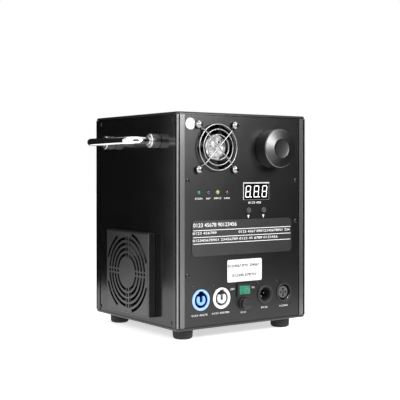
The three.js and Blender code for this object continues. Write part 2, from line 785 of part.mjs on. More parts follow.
// Twist-lock power socket: a keyed ring round a core that is slotted from the top
function powerSocket() {
  const open = powerRise + overrun - socketFloor;
  const key = block(powerKeyWidth, powerKeyReach, open, 0, powerKeyReach / 2, socketFloor);
  const coreFoot = socketFloor - overrun;
  const core = bar(powerCoreRadius, powerRise - coreFoot, middleSteps, 0, 0, coreFoot);
  const slotFoot = powerCoreSlotWidth / 2 - powerCoreSlotDrop;
  const reach = powerCoreRadius + overrun;
  const slot = block(powerCoreSlotWidth, reach - slotFoot, open, 0, (reach + slotFoot) / 2, socketFloor);
  const slotEnd = bar(powerCoreSlotWidth / 2, open, coarseSteps, 0, slotFoot, socketFloor);
  const armGap = reach - powerCoreArmRise;
  const above = block(2 * reach, armGap, open, 0, powerCoreArmRise + armGap / 2, socketFloor);
  const shell = cut(socketBlank(powerRadius, powerRise, powerBore), key);
  return shell.add(cut(solidOf(core), slot, slotEnd, above));
}

const pinPlaces = [[-1, 0], [1, 0], [0, -1]].map(([x, y]) => [x * pinCircleRadius, y * pinCircleRadius]);

// Data socket with three sunk pins
function dataInSocket() {
  const groove = pipe(dataBore, dataBore - dataInGroove, dataInGrooveDepth + overrun, middleSteps,
    dataRise - dataInGrooveDepth);
  const pinFoot = socketFloor - overrun;
  const pinLength = dataRise - pinRecess - pinFoot;
  const pins = pinPlaces.map(([x, y]) => bar(pinRadius, pinLength, coarseSteps, x, y, pinFoot));
  return cut(socketBlank(dataRadius, dataRise, dataInBore), groove).add(join(...pins));
}

// Data socket with a sunk core that has three contact holes and a key line
function dataOutSocket() {
  const coreFoot = socketFloor - overrun;
  const coreTop = dataRise - dataCoreRecess;
  const core = solidOf(bar(dataCoreRadius, coreTop - coreFoot, middleSteps, 0, 0, coreFoot));
  const places = [...pinPlaces, [0, pinCircleRadius]];
  const contacts = places.map(([x, y]) =>
    bar(contactRadius, contactDepth + overrun, coarseSteps, x, y, coreTop - contactDepth));
  const line = block(dataKeyWidth, 2 * pinCircleRadius, 2 * overrun, 0, 0, coreTop - overrun);
  return socketBlank(dataRadius, dataRise, dataBore).add(cut(core, ...contacts, line));
}

const socketBlue = finish(0xa9c8f5, 0.35, 0);
const socketWhite = finish(0xf0f0f0, 0.35, 0);
part(controlSide, 'power_in_socket', powerSocket(), socketBlue, powerPlaces[0], socketAbove);
part(controlSide, 'power_out_socket', powerSocket(), socketWhite, powerPlaces[1], socketAbove);
part(controlSide, 'data_in_socket', dataInSocket(), blackPlastic, dataPlaces[0], socketAbove);
part(controlSide, 'data_out_socket', dataOutSocket(), blackPlastic, dataPlaces[1], socketAbove);

// Rocker switch: a bezelled body and a rocker that tips about an upright axis
function switchBody() {
  const bezel = block(switchBezelWidth, switchBezelHeight, switchBezelRise - seat, 0, 0, seat);
  const bodyLength = switchBodyDepth + switchBezelRise / 2;
  const body = block(switchBodyWidth, switchBodyHeight, bodyLength, 0, 0, -switchBodyDepth);
  const pocketDepth = rockerDepth + rockerClearance + overrun;
  const pocket = block(switchWindowWidth, switchWindowHeight, switchBezelRise + pocketDepth, 0, 0,
    rockerPivot - pocketDepth);
  return cut(join(bezel, body), pocket);
}

function rocker() {
  const half = rockerWidth / 2;
  const shape = new THREE.Shape([
    [-rockerBottomWidth / 2, -rockerDepth], [rockerBottomWidth / 2, -rockerDepth], [half, rockerFlank],
    [half, rockerEndRise], [0, rockerMiddleRise], [-half, rockerEndRise], [-half, rockerFlank],
  ].map(([x, y]) => new THREE.Vector2(x, y)));
  return solidOf(slab(shape, rockerHeight, -rockerHeight / 2).rotateX(Math.PI / 2));
}

part(controlSide, 'switch_body', switchBody(), blackPlastic, switchX, switchAbove);
part(controlSide, 'switch_rocker', rocker(), finish(0x1d8f63, 0.25, 0), switchX, switchAbove, rockerPivot)
  .rotation.y = -rockerTilt;

// Fuse holder, its slotted cap, and the glass fuse that the cap holds
const fuseBaseTop = seat + fuseBaseRise;
const fuseNeck = bar(fuseNeckRadius, fuseHolderDepth + fuseBaseTop, middleSteps, 0, 0, -fuseHolderDepth);
const fuseBase = bar(fuseBaseRadius, fuseBaseRise, middleSteps, 0, 0, seat);
const fuseHollow = bar(fuseBore, fuseHolderDepth + 2 * fuseBaseTop, coarseSteps, 0, 0,
  -fuseHolderDepth + fuseBaseRise);
part(controlSide, 'fuse_holder', cut(join(fuseNeck, fuseBase), fuseHollow), blackPlastic, switchX, fuseAbove);

const fuseCapFoot = fuseBaseTop + seat;
const fuseCapProfile = [
  [0, -fuseCapPlugDepth], [fuseBore - seat, -fuseCapPlugDepth], [fuseBore - seat, fuseCapFoot],
  [fuseCapRadius, fuseCapFoot], [fuseCapRadius, fuseCapRise - fuseCapSlotDepth],
  [fuseCapRadius - fuseCapSlotDepth, fuseCapRise], [0, fuseCapRise],
];
const fuseCapSlot = block(2 * (fuseCapRadius + overrun), fuseCapSlotWidth, fuseCapSlotDepth + overrun, 0, 0,
  fuseCapRise - fuseCapSlotDepth);
part(controlSide, 'fuse_cap', cut(solidOf(turned(fuseCapProfile, middleSteps)), fuseCapSlot), blackPlastic,
  switchX, fuseAbove);
part(controlSide, 'fuse_link', solidOf(bar(fuseRadius, fuseLength, coarseSteps)), steel,
  switchX, fuseAbove, -fuseCapPlugDepth - seat - fuseLength);

// Carrying handle: one bent rod whose ends stand in two ferrules
function handleRodSolid() {
  const half = handleSpan / 2;
  const at = (x, z) => new THREE.Vector3(x, 0, z);
  const path = new THREE.CurvePath();
  path.add(new THREE.LineCurve3(at(-half, seat), at(-half, handleReach - handleBend)));
  path.add(new THREE.QuadraticBezierCurve3(
    at(-half, handleReach - handleBend), at(-half, handleReach), at(handleBend - half, handleReach)));
  path.add(new THREE.LineCurve3(at(handleBend - half, handleReach), at(half - handleBend, handleReach)));
  path.add(new THREE.QuadraticBezierCurve3(
    at(half - handleBend, handleReach), at(half, handleReach), at(half, handleReach - handleBend)));
  path.add(new THREE.LineCurve3(at(half, handleReach - handleBend), at(half, seat)));
  return solidOf(wire(path, handleRod / 2, rodSides, fineSteps));
}

const handleX = fromFront(handleFront) - handleSpan / 2;
const ferruleBore = handleRod / 2 + seat;
const ferruleEnd = seat + ferruleLength;
const ferruleProfile = [
  [ferruleBore, seat], [ferruleRadius, seat], [ferruleRadius, ferruleEnd - ferruleChamfer],
  [ferruleRadius - ferruleChamfer, ferruleEnd], [ferruleBore, ferruleEnd], [ferruleBore, seat],
];
const ferrule = solidOf(turned(ferruleProfile, middleSteps));
part(handleSide, 'carry_handle', handleRodSolid(), chrome, handleX, handleAbove);
part(handleSide, 'handle_ferrule_front', ferrule, ferruleGrey, handleX + handleSpan / 2, handleAbove);
part(handleSide, 'handle_ferrule_back', ferrule, ferruleGrey, handleX - handleSpan / 2, handleAbove);

// Vent hood: a square tray over the side fan. Its rings of slots are interrupted at the two sides by a
// short dash between bridges, and above and below by a column of upright dashes.
function ringSlots(index, keepOut) {
  const radius = slotFirstRadius + index * slotPitch;
  const depth = hoodWall + 2 * overrun;
  const low = hoodDepth - hoodWall - overrun;
  const ring = pipe(radius + slotWidth / 2, radius - slotWidth / 2, depth, middleSteps, low);
  return cut(solidOf(ring), ...keepOut);
}

function ringDashes(index) {
  const radius = slotFirstRadius + index * slotPitch;
  const depth = hoodWall + 2 * overrun;
  const low = hoodDepth - hoodWall - overrun;
  return cornerSigns.map(([sideX, sideY]) => {
    const x = slotColumn + sideX * slotDashFromMiddle;
    const y = sideY * Math.sqrt(radius ** 2 - x ** 2);
    return block(slotDashWidth, slotDashShare * slotPitch, depth, x, y, low);
  });
}

function ventHood() {
  const blank = slab(roundedRectangle(hoodSize, hoodSize, hoodCornerRadius), hoodDepth - seat, seat);
  const clear = hoodSize - 2 * hoodWall;
  const hollow = block(clear, clear, hoodDepth - hoodWall);
  const tall = hoodDepth + 2 * overrun;
  const upright = (from, to) => block(to - from, hoodSize, tall, (from + to) / 2);
  const level = (from, to) => block(hoodSize, to - from, tall, 0, (from + to) / 2);
  const dashEnd = slotLevelDash / 2;
  const bridgeEnd = dashEnd + slotLevelBridge;
  const bridges = [
    upright(slotColumn - slotColumnLeft, slotColumn + slotColumnRight),
    level(dashEnd, bridgeEnd), level(-bridgeEnd, -dashEnd),
  ];
  const cornerKeepOut = [upright(-slotCornerLeft, slotCornerRight), level(-slotCornerLevel, slotCornerLevel)];
  let hood = cut(solidOf(blank), hollow);
  for (let i = 0; i < slotRings; i += 1) hood = cut(hood.subtract(ringSlots(i, bridges)), ...ringDashes(i));
  return hood.subtract(ringSlots(slotRings, cornerKeepOut));
}

part(handleSide, 'vent_hood', ventHood(), finish(0x4a4a4b, 0.5, 0.2), hoodX, hoodAbove);

// Blower: a snail housing on a foot, blowing straight up. Its plane is x and z, seen from the control panel.
const blowerHalfOutlet = blowerOutlet / 2 + blowerWall;
const blowerX = blowerHalfOutlet - blowerRadius;
const blowerTop = blowerRadius + blowerRise;

function scroll(wall, top) {
  const half = blowerHalfOutlet - wall;
  const radiusAt = (turn) => blowerRadius - wall - (blowerShrink * turn) / (1.5 * Math.PI);
  const last = 2 * Math.PI - Math.acos((-half - blowerX) / radiusAt(1.5 * Math.PI));
  const points = [new THREE.Vector2(half, top)];
  for (let i = 0; i <= middleSteps; i += 1) {
    const turn = (last * i) / middleSteps;
    const radius = radiusAt(turn);
    points.push(new THREE.Vector2(blowerX + radius * Math.cos(turn), blowerRadius - radius * Math.sin(turn)));
  }
  points.push(new THREE.Vector2(-half, top));
  return new THREE.Shape(points);
}

const blowerPlane = new THREE.Group();
blowerPlane.rotation.x = Math.PI / 2;
blowerPlane.position.z = floorTop;
inside.add(blowerPlane);

function blowerHousing() {
  const back = -blowerWidth / 2;
  const outer = slab(scroll(0, blowerTop), blowerWidth, back);
  const stand = block(blowerFootWidth, blowerRadius, blowerWidth, blowerX, blowerRadius / 2, back);
  const clear = blowerWidth - 2 * blowerWall;
  const hollow = slab(scroll(blowerWall, blowerTop + overrun), clear, back + blowerWall);
  const inlet = bar(blowerInletRadius, blowerWidth, middleSteps, blowerX, blowerRadius, 0);
  const boss = bar(blowerBossRadius, blowerBossLength, coarseSteps, blowerX, blowerRadius, back);
  return cut(join(outer, stand), hollow, inlet).add(solidOf(boss));
}

function blowerImpeller() {
  const low = blowerBossLength - blowerWidth / 2 + seat;
  const high = blowerWidth / 2 - blowerWall - overrun;
  const disc = bar(impellerRadius, impellerDiscThickness, middleSteps, 0, 0, low);
  const hub = bar(blowerBossRadius, (high - low) / 2, coarseSteps, 0, 0, low);
  const bladeMiddle = impellerRadius - impellerBladeRadial / 2;
  const blades = Array.from({ length: impellerBladeCount }, (_, i) =>
    block(impellerBladeRadial, impellerBladeThickness, high - low, bladeMiddle, 0, low)
      .rotateZ((2 * Math.PI * i) / impellerBladeCount));
  return join(disc, hub, ...blades);
}

part(blowerPlane, 'blower_housing', blowerHousing(), blackPlastic);
part(blowerPlane, 'blower_impeller', blowerImpeller(), blackPlastic, blowerX, blowerRadius);

// Heater tube with its sleeve on the blower, nozzle tube on the heater tube, nozzle ring on the top cover
const heaterFoot = floorTop + blowerTop + seat;
const feedHeight = heaterFoot + feedAboveBlower;
const heaterBore = heaterRadius - heaterWall;
const feedBore = feedTubeRadius - feedTubeWall;

// A round bar along Y at the height of the feed, from y = near to y = far
function crossBar(radius, near, far, steps) {
  const round = new THREE.CylinderGeometry(radius, radius, Math.abs(far - near), steps);
  return round.translate(0, (near + far) / 2, feedHeight);
}

const heaterTube = join(
  pipe(heaterRadius, heaterBore, heaterLength, middleSteps, heaterFoot),
  pipe(heaterFlangeRadius, heaterBore, heaterFlangeThickness, middleSteps, heaterFoot),
  pipe(heaterFlangeRadius, heaterBore, heaterFlangeThickness, middleSteps,
    heaterFoot + heaterLength - heaterFlangeThickness));
part(inside, 'heater_tube', cut(heaterTube, crossBar(feedBore, 0, -sleeveRadius, coarseSteps)), steel);

const sleeve = pipe(sleeveRadius, heaterRadius + seat, sleeveLength, middleSteps,
  heaterFoot + heaterFlangeThickness + seat);
part(inside, 'heater_sleeve',
  cut(solidOf(sleeve), crossBar(feedTubeRadius + seat, 0, -sleeveRadius - overrun, middleSteps)), ceramic);

const nozzleFoot = heaterFoot + heaterLength + seat;
const nozzleRingFoot = caseHeight + seat;
const nozzleRingTop = nozzleRingFoot + nozzleRingHeight;
const nozzleBore = nozzleTubeRadius - nozzleTubeWall;
const nozzleTubeLength = nozzleRingTop - nozzleTubeDrop - nozzleFoot;
part(inside, 'nozzle_tube', join(
  pipe(nozzleTubeRadius, nozzleBore, nozzleTubeLength, middleSteps, nozzleFoot),
  pipe(heaterFlangeRadius, nozzleBore, heaterFlangeThickness, middleSteps, nozzleFoot)), steel);

const ringBore = nozzleTubeRadius + seat;
const nozzleRingProfile = [
  [ringBore, nozzleRingFoot], [nozzleRingRadius, nozzleRingFoot],
  [nozzleRingRadius, nozzleRingTop - nozzleRingRounding],
  [nozzleRingRadius - nozzleRingRounding, nozzleRingTop],
  [ringBore, nozzleRingTop], [ringBore, nozzleRingFoot],
];
part(inside, 'nozzle_ring', solidOf(turned(nozzleRingProfile, fineSteps)), steel);

// Granule feed: tube with a port under the hopper, auger inside it, and the motor that turns the auger
const feedFar = -heaterGap;
const feedNear = feedFar - feedTubeLength;
const port = bar(feedPortRadius, feedTubeRadius + overrun, middleSteps, 0, hopperY, feedHeight);
part(inside, 'feed_tube',
  cut(solidOf(crossBar(feedTubeRadius, feedNear, feedFar, middleSteps)),
    crossBar(feedBore, feedNear - overrun, feedFar + overrun, middleSteps), port),
  steel);

const motorFace = feedNear - seat;
part(inside, 'feed_motor',
  cut(solidOf(crossBar(motorRadius, motorFace - motorLength, motorFace, middleSteps)),
    crossBar(augerShaftRadius + seat, motorFace - motorBoreDepth, motorFace + overrun, coarseSteps)),
  steel);

// A screw blade about Z, starting at z = 0
function screwBlade(inner, outer, thickness, pitch, turns) {
  const steps = coarseSteps * turns;
  const positions = [];
  const faces = [];
  for (let i = 0; i <= steps; i += 1) {
    const angle = (2 * Math.PI * i) / coarseSteps;
    const height = (pitch * i) / coarseSteps;
    for (const [radius, z] of [[inner, 0], [outer, 0], [outer, thickness], [inner, thickness]]) {
      positions.push(radius * Math.cos(angle), radius * Math.sin(angle), height + z);
    }
    if (i === steps) continue;
    for (let side = 0; side < 4; side += 1) {
      const [a, b] = [4 * i + side, 4 * i + ((side + 1) % 4)];
      faces.push(a, b + 4, b, a, a + 4, b + 4);
    }
  }
  const last = 4 * steps;
  faces.push(0, 1, 2, 0, 2, 3, last, last + 2, last + 1, last, last + 3, last + 2);
  const geometry = new THREE.BufferGeometry();
  geometry.setAttribute('position', new THREE.Float32BufferAttribute(positions, 3));
  geometry.setIndex(faces);
  return geometry;
}

const augerFar = feedFar - augerEndGap;
const blade = screwBlade(augerShaftRadius / 2, augerRadius, augerThickness, augerPitch, augerTurns);
blade.rotateX(Math.PI / 2).translate(0, augerFar, feedHeight);
part(inside, 'feed_auger',
  join(crossBar(augerShaftRadius, motorFace - motorBoreDepth + seat, augerFar, coarseSteps), blade), steel);

// Hopper: a flat-backed bin whose sloping floor ends in a spout over the feed port
const spoutTop = feedHeight + feedTubeRadius + seat + hopperSpoutLength;

function hopperOutline(wall) {
  const left = wall - hopperLeftReach;
  const right = fillerX + neckRadius + hopperSideRoom - wall;
  const top = caseHeight - coverThickness - hopperHeadroom - wall;
  const floor = spoutTop + wall;
  const throat = hopperThroat + hopperWall - wall;
  return new THREE.Shape([
    [left, floor + hopperLeftSlope], [-throat, floor], [throat, floor], [right, floor + hopperSlope],
    [right, top], [left, top],
  ].map(([x, y]) => new THREE.Vector2(x, y)));
}

function hopperSolid() {
  const upright = (geometry) => geometry.rotateX(Math.PI / 2).translate(0, hopperY, 0);
  const outer = upright(slab(hopperOutline(0), hopperDepth, -hopperDepth / 2));
  const innerDepth = hopperDepth - 2 * hopperWall;
  const inner = upright(slab(hopperOutline(hopperWall), innerDepth, -innerDepth / 2));
  const spout = bar(hopperSpoutRadius, hopperSpoutLength + hopperWall, middleSteps, 0, hopperY,
    spoutTop - hopperSpoutLength);
  const bore = bar(feedPortRadius, hopperSpoutLength + 2 * hopperWall + overrun, middleSteps, 0, hopperY,
    spoutTop - hopperSpoutLength - overrun);
  const inlet = bar(neckBore, hopperDepth / 2 + overrun, middleSteps).rotateX(Math.PI / 2)
    .translate(fillerX, hopperY, fillerAbove);
  return cut(join(outer, spout), inner, bore, inlet);
}

part(inside, 'hopper', hopperSolid(), blackPlastic);

// Power supply on the base plate, driver board on the studs of the plain side panel
part(inside, 'power_supply',
  solidOf(block(supplyWidth, supplyLength, supplyHeight,
    caseWidth / 2 - supplyFromRight - supplyWidth / 2, 0, floorTop)),
  steel);

const relays = [-1, 0, 1].map((i) =>
  block(relayWidth, relayHeight, relayDepth + boardThickness, (i * driverWidth) / 4, driverY,
    -driverStand - boardThickness - relayDepth));
const driver = block(driverWidth, driverHeight, boardThickness, 0, driverY, -driverStand - boardThickness);
part(plainSide, 'driver_board', join(driver, ...relays), boardGreen);

// Middle of the outline: the handle stands out to the left, the filler cap to the front
machine.position.x = (handleReach + handleRod / 2 - panelInset) / 2;
machine.position.y = (capTop - panelInset) / 2;

export default model;
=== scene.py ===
import json
import math

import bmesh
import bpy
from mathutils import Matrix, Vector


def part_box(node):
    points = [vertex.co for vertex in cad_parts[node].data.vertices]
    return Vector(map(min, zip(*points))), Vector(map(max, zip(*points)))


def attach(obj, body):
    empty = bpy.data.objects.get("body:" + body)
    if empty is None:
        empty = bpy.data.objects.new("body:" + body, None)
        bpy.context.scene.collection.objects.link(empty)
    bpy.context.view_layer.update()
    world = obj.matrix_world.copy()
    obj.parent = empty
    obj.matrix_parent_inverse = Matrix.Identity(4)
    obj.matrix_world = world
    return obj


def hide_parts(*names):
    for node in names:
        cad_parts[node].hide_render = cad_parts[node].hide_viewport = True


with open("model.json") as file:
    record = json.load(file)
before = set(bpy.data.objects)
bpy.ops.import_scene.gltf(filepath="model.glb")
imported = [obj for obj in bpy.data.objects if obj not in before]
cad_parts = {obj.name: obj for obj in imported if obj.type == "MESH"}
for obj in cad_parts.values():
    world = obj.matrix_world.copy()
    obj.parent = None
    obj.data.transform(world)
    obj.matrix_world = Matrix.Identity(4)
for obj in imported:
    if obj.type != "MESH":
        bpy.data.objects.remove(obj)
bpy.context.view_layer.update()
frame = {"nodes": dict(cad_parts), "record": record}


# The photographer's view. The camera stands level at three quarters of the case's height, a metre from its
# near corner, and looks across the control panel and the side that carries the handle.
image_side = 400
focal_pixels = 936.1
horizon_pixel = 168.5
view_turn = math.radians(35.11)
corner_ahead, corner_left, eye_above = 1.0229, 0.0248, 0.1791

case_low, case_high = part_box("base_plate")
ahead = Vector((math.sin(view_turn), math.cos(view_turn), 0))
rightward = Vector((ahead.y, -ahead.x, 0))
near_corner = Vector((case_low.x, case_low.y, case_low.z + eye_above))


def in_scene(name, data):
    """A new object, linked to the scene."""
    item = bpy.data.objects.new(name, data)
    bpy.context.scene.collection.objects.link(item)
    return item


camera = in_scene("camera", bpy.data.cameras.new("camera"))
camera.data.lens = focal_pixels / image_side * camera.data.sensor_width
camera.data.shift_y = (horizon_pixel - image_side / 2) / image_side
camera.location = near_corner - ahead * corner_ahead + rightward * corner_left
camera.rotation_euler = (math.pi / 2, 0, -view_turn)
bpy.context.scene.camera = camera
bpy.context.scene.view_settings.view_transform = "Standard"


# The steel case: folded and cut sheets with a black powder coat, which has a fine orange-peel skin. It is
# satin on the covers and the control panel and glossy on the other walls. The covers have rounded edges,
# and the nozzle comes through the upper one.
mm = 0.001


class Shade:
    """One output of a node, in a material or in Geometry Nodes. Python's operators on it add Math nodes."""

    def __init__(self, tree, node=None, output=0):
        self.tree = tree
        self.socket = node.outputs[output] if node else None

    def node(self, kind, settings=None, sockets=None, output=0):
        made = self.tree.nodes.new(kind)
        for name, value in (settings or {}).items():
            setattr(made, name, value)
        for key, value in (sockets or {}).items():
            if isinstance(value, Shade):
                self.tree.links.new(value.socket, made.inputs[key])
            else:
                made.inputs[key].default_value = value
        return Shade(self.tree, made, output)

    def maths(self, operation, *values):
        return self.node("ShaderNodeMath", {"operation": operation}, dict(enumerate(values)))

    def __add__(self, other):
        return self.maths("ADD", self, other)

    def __sub__(self, other):
        return self.maths("SUBTRACT", self, other)

    def __rsub__(self, other):
        return self.maths("SUBTRACT", other, self)

    def __mul__(self, other):
        return self.maths("MULTIPLY", self, other)

    __radd__ = __add__
    __rmul__ = __mul__

    def between(self, low, high):
        """0 below low, 1 above high, and a soft step between them."""
        settings = {"interpolation_type": "SMOOTHSTEP"}
        return self.node("ShaderNodeMapRange", settings, {0: self, 1: low, 2: high})

    def blend(self, first, second):
        """The first colour where this is 0, and the second where it is 1."""
        return self.node("ShaderNodeMix", {"data_type": "RGBA"}, {0: self, 6: first, 7: second}, 2)


class Finish:
    """A material on one Principled shader, whose fixed values are set on its own sockets."""

    def __init__(self, name, **fixed):
        self.material = bpy.data.materials.new(name)
        self.material.use_nodes = True
        self.tree = self.material.node_tree
        self.shader = self.tree.nodes["Principled BSDF"]
        self.start = Shade(self.tree)
        self.place = self.start.node("ShaderNodeTexCoord", output="Object")
        for socket, value in fixed.items():
            self.shader.inputs[socket.replace("_", " ")].default_value = value

    def feed(self, socket, shade):
        self.tree.links.new(shade.socket, self.shader.inputs[socket])

    def noise(self, scale, detail=2.0):
        """Noise with so many bumps to the metre."""
        sockets = {"Vector": self.place, "Scale": scale, "Detail": detail}
        return self.start.node("ShaderNodeTexNoise", None, sockets)

    def raise_by(self, height, shade):
        """Bumps the surface by up to the height."""
        sockets = {"Strength": 1.0, "Distance": height, "Height": shade}
        self.feed("Normal", self.start.node("ShaderNodeBump", None, sockets))


def grey(level):
    return (level, level, level * 1.01, 1)


def painted(name, level, roughness, grain, **fixed):
    """Black coating: cloudy in tone and gloss, with a grain of the given height."""
    coat = Finish(name, **fixed)
    cloud = coat.noise(14, 3).between(0.35, 0.65)
    speck = coat.noise(2600, 1).between(0.45, 0.7)
    coat.feed("Base Color", (cloud * 0.7 + speck * 0.3).blend(grey(level * 0.86), grey(level * 1.14)))
    coat.feed("Roughness", coat.noise(40, 2) * 0.08 + (roughness - 0.04))
    coat.raise_by(grain, coat.noise(1500, 2))
    return coat.material


satin_coat = painted("satin_coat", 0.003, 0.34, 0.00004)
gloss_coat = painted("gloss_coat", 0.003, 0.16, 0.00001, Specular_IOR_Level=0.42)


def rounded(corners, closed=True, steps=5):
    """An outline of (x, y) or (x, y, radius) corners, with an arc at each corner that has a radius."""
    points = []
    for i, (x, y, *radius) in enumerate(corners):
        here = Vector((x, y))
        if not radius or radius[0] == 0:
            points.append(here)
            continue
        back = (Vector(corners[i - 1][:2]) - here).normalized()
        onward = (Vector(corners[(i + 1) % len(corners)][:2]) - here).normalized()
        half = back.angle(onward) / 2
        centre = here + (back + onward).normalized() * radius[0] / math.sin(half)
        first = here + back * radius[0] / math.tan(half) - centre
        last = here + onward * radius[0] / math.tan(half) - centre
        turn = math.atan2(first.x * last.y - first.y * last.x, first.dot(last))
        for k in range(steps + 1):
            points.append(centre + Matrix.Rotation(turn * k / steps, 2) @ first)
    return points


def circle(radius, x=0.0, y=0.0, steps=64):
    turns = [2 * math.pi * k / steps for k in range(steps)]
    return [Vector((x + radius * math.cos(a), y + radius * math.sin(a))) for a in turns]


def rectangle(width, height, x=0.0, y=0.0, radius=0.0):
    sides = [(-1, -1), (1, -1), (1, 1), (-1, 1)]
    return rounded([(x + a * width / 2, y + b * height / 2, radius) for a, b in sides])


def facing(direction, at):
    """A place on a wall: x to the right as seen from outside, y up, z out of the wall."""
    out, up = Vector(direction), Vector((0, 0, 1))
    place = Matrix((up.cross(out), up, out)).transposed().to_4x4()
    place.translation = at
    return place


def plain_mesh(form, name):
    """A new mesh of a bmesh, which is freed."""
    mesh = bpy.data.meshes.new(name)
    form.to_mesh(mesh)
    form.free()
    return mesh


def form_of(*meshes):
    """One bmesh of all the meshes."""
    form = bmesh.new()
    for mesh in meshes:
        form.from_mesh(mesh)
    return form


def mesh_of(form, name, crease=35):
    """A mesh from a bmesh, crisp where faces meet at more than the crease angle."""
    bmesh.ops.remove_doubles(form, verts=form.verts, dist=1e-7)
    bmesh.ops.recalc_face_normals(form, faces=form.faces)
    for face in form.faces:
        face.smooth = True
    for edge in form.edges:
        if len(edge.link_faces) == 2:
            edge.smooth = edge.calc_face_angle(0) < math.radians(crease)
    return plain_mesh(form, name)


def fit(name, mesh, finish, place=None, body="case", nodes=()):
    """Puts a mesh in its place on the machine, in its finish, and lets it stand for CAD nodes."""
    if place is not None:
        mesh.transform(place)
    mesh.materials.clear()
    mesh.materials.append(finish)
    piece = in_scene(name, mesh)
    piece.modifiers.new("even shading", "WEIGHTED_NORMAL").keep_sharp = True
    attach(piece, body)
    if nodes:
        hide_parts(*nodes)


def drawn(curve, lines, closed):
    """A bmesh of a curve that runs through lines of points."""
    for line in lines:
        spline = curve.splines.new("POLY")
        spline.points.add(len(line) - 1)
        for point, place in zip(spline.points, line):
            point.co = (*place, 1)
        spline.use_cyclic_u = closed
    item = bpy.data.objects.new(curve.name, curve)
    form = form_of(item.to_mesh())
    bpy.data.objects.remove(item)
    return form


def plate(name, outlines, thickness, edge=0.15 * mm, low=0.0):
    """A sheet cut to its first outline, with the others as holes and with broken edges."""
    curve = bpy.data.curves.new(name, "CURVE")
    curve.dimensions, curve.fill_mode = "2D", "BOTH"
    curve.extrude, curve.bevel_depth, curve.offset = thickness / 2 - edge, edge, -edge
    curve.bevel_resolution = 1
    form = drawn(curve, [[(x, y, 0) for x, y in outline] for outline in outlines], closed=True)
    bmesh.ops.translate(form, verts=form.verts, vec=(0, 0, low + thickness / 2))
    return mesh_of(form, name)


def band(form, one, two):
    """Faces between two closed loops of as many points."""
    for k in range(len(one)):
        form.faces.new((one[k - 1], one[k], two[k], two[k - 1]))


def rolled_edge(rounding, steps):
    """The inset and the drop at each step of a quarter round, from the wall to the flat face."""
    turns = [math.pi / 2 / steps * k for k in range(steps + 1)]
    return [(rounding * (1 - math.cos(a)), rounding * (1 - math.sin(a))) for a in turns]


def cover(name, flat, rim, hole=None):
    """A cover plate from its rounded rim at height rim to its flat face, with an optional hole."""
    rounding, corner_radius = 2.4 * mm, 3.5 * mm
    size, middle = case_high - case_low, (case_low + case_high) / 2
    up = 1 if flat > rim else -1
    levels = [(rim, 0.0)] + [(flat - up * drop, inset) for inset, drop in rolled_edge(rounding, 6)]
    form = bmesh.new()
    loops = []
    for height, inset in levels:
        outline = rectangle(size.x - 2 * inset, size.y - 2 * inset, middle.x, middle.y, corner_radius - inset)
        loops.append([form.verts.new((x, y, height)) for x, y in outline])
    for low, high in zip(loops, loops[1:]):
        band(form, low, high)
    if hole:
        mouth = circle(hole, middle.x, middle.y)
        inner = [[form.verts.new((x, y, z)) for x, y in mouth] for z in (rim, flat)]
        band(form, *inner)
        for ring, loop in ((inner[0], loops[0]), (inner[1], loops[-1])):
            edges = [form.edges.get((r[k - 1], r[k])) for r in (ring, loop) for k in range(len(r))]
            bmesh.ops.triangle_fill(form, edges=edges, use_beauty=True)
    else:
        form.faces.new(loops[0])
        form.faces.new(loops[-1])
    return mesh_of(form, name)


nozzle_bore = 14.3
top_low, top_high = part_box("top_cover")
top_mesh = cover("top_sheet", top_high.z, top_low.z, nozzle_bore * mm)
fit("top_sheet", top_mesh, satin_coat, nodes=["top_cover"])
base_mesh = cover("base_sheet", case_low.z, case_high.z)
fit("base_sheet", base_mesh, satin_coat, nodes=["base_plate"])

panel_low, panel_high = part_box("control_panel")
front_y, left_x, floor_z = panel_low.y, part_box("handle_side_panel")[0].x, case_low.z


def middle_of(node):
    low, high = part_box(node)
    return (low + high) / 2


def on_panel(from_left, above, out=0.0):
    """A place on the control panel, in millimetres from the case's left edge and underside."""
    return facing((0, -1, 0), (case_low.x + from_left * mm, front_y - out * mm, floor_z + above * mm))


def panel_place(node, out=0.0):
    """The place on the control panel's face in front of a node's middle, or so many millimetres out."""
    centre = middle_of(node)
    return facing((0, -1, 0), (centre.x, front_y - out * mm, centre.z))


def panel_point(node):
    """A node's middle in the control panel's own x and y."""
    centre = middle_of(node)
    return centre.x - case_low.x, centre.z - floor_z


def dress(node, finish):
    """Puts a finish on a CAD node that is shown as it is."""
    materials = frame["nodes"][node].data.materials
    materials.clear()
    materials.append(finish)


sheet_gauge, behind_sheet, display_spare, switch_hole = 1.5, -1.8, 0.7, (19, 14)
# A row has the nodes that come through, the hole's radius in millimetres, and the steps round it.
round_holes = (
    (["panel_fan_frame"], 25.9, 96),
    (["filler_neck"], 17.7, 64),
    ([f"guard_screw_{i}" for i in (1, 2, 3, 4)], 1.9, 24),
    ([f"lamp_{colour}" for colour in ("green", "blue", "yellow", "red")], 2.8, 32),
    ([f"button_{side}" for side in ("left", "right")], 3.65, 32),
    ([f"power_{way}_socket" for way in ("in", "out")], 12.2, 64),
    ([f"data_{way}_socket" for way in ("in", "out")], 11.4, 64),
    (["fuse_holder"], 5.9, 64),
)
panel_size = panel_high - panel_low
panel_outlines = [rectangle(panel_size.x, panel_size.z, *panel_point("control_panel"))]
for nodes, radius, steps in round_holes:
    panel_outlines += [circle(radius * mm, *panel_point(node), steps) for node in nodes]
display_low, display_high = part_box("display")
display_size = display_high - display_low
panel_outlines.append(rectangle(display_size.x + display_spare * mm, display_size.z + display_spare * mm,
                                *panel_point("display")))
panel_outlines.append(rectangle(switch_hole[0] * mm, switch_hole[1] * mm, *panel_point("switch_body")))
panel_mesh = plate("panel_sheet", panel_outlines, sheet_gauge * mm, low=-sheet_gauge * mm)
fit("panel_sheet", panel_mesh, satin_coat, on_panel(0, 0), nodes=["control_panel"])

for wall in ("handle_side_panel", "back_panel", "plain_side_panel"):
    dress(wall, gloss_coat)


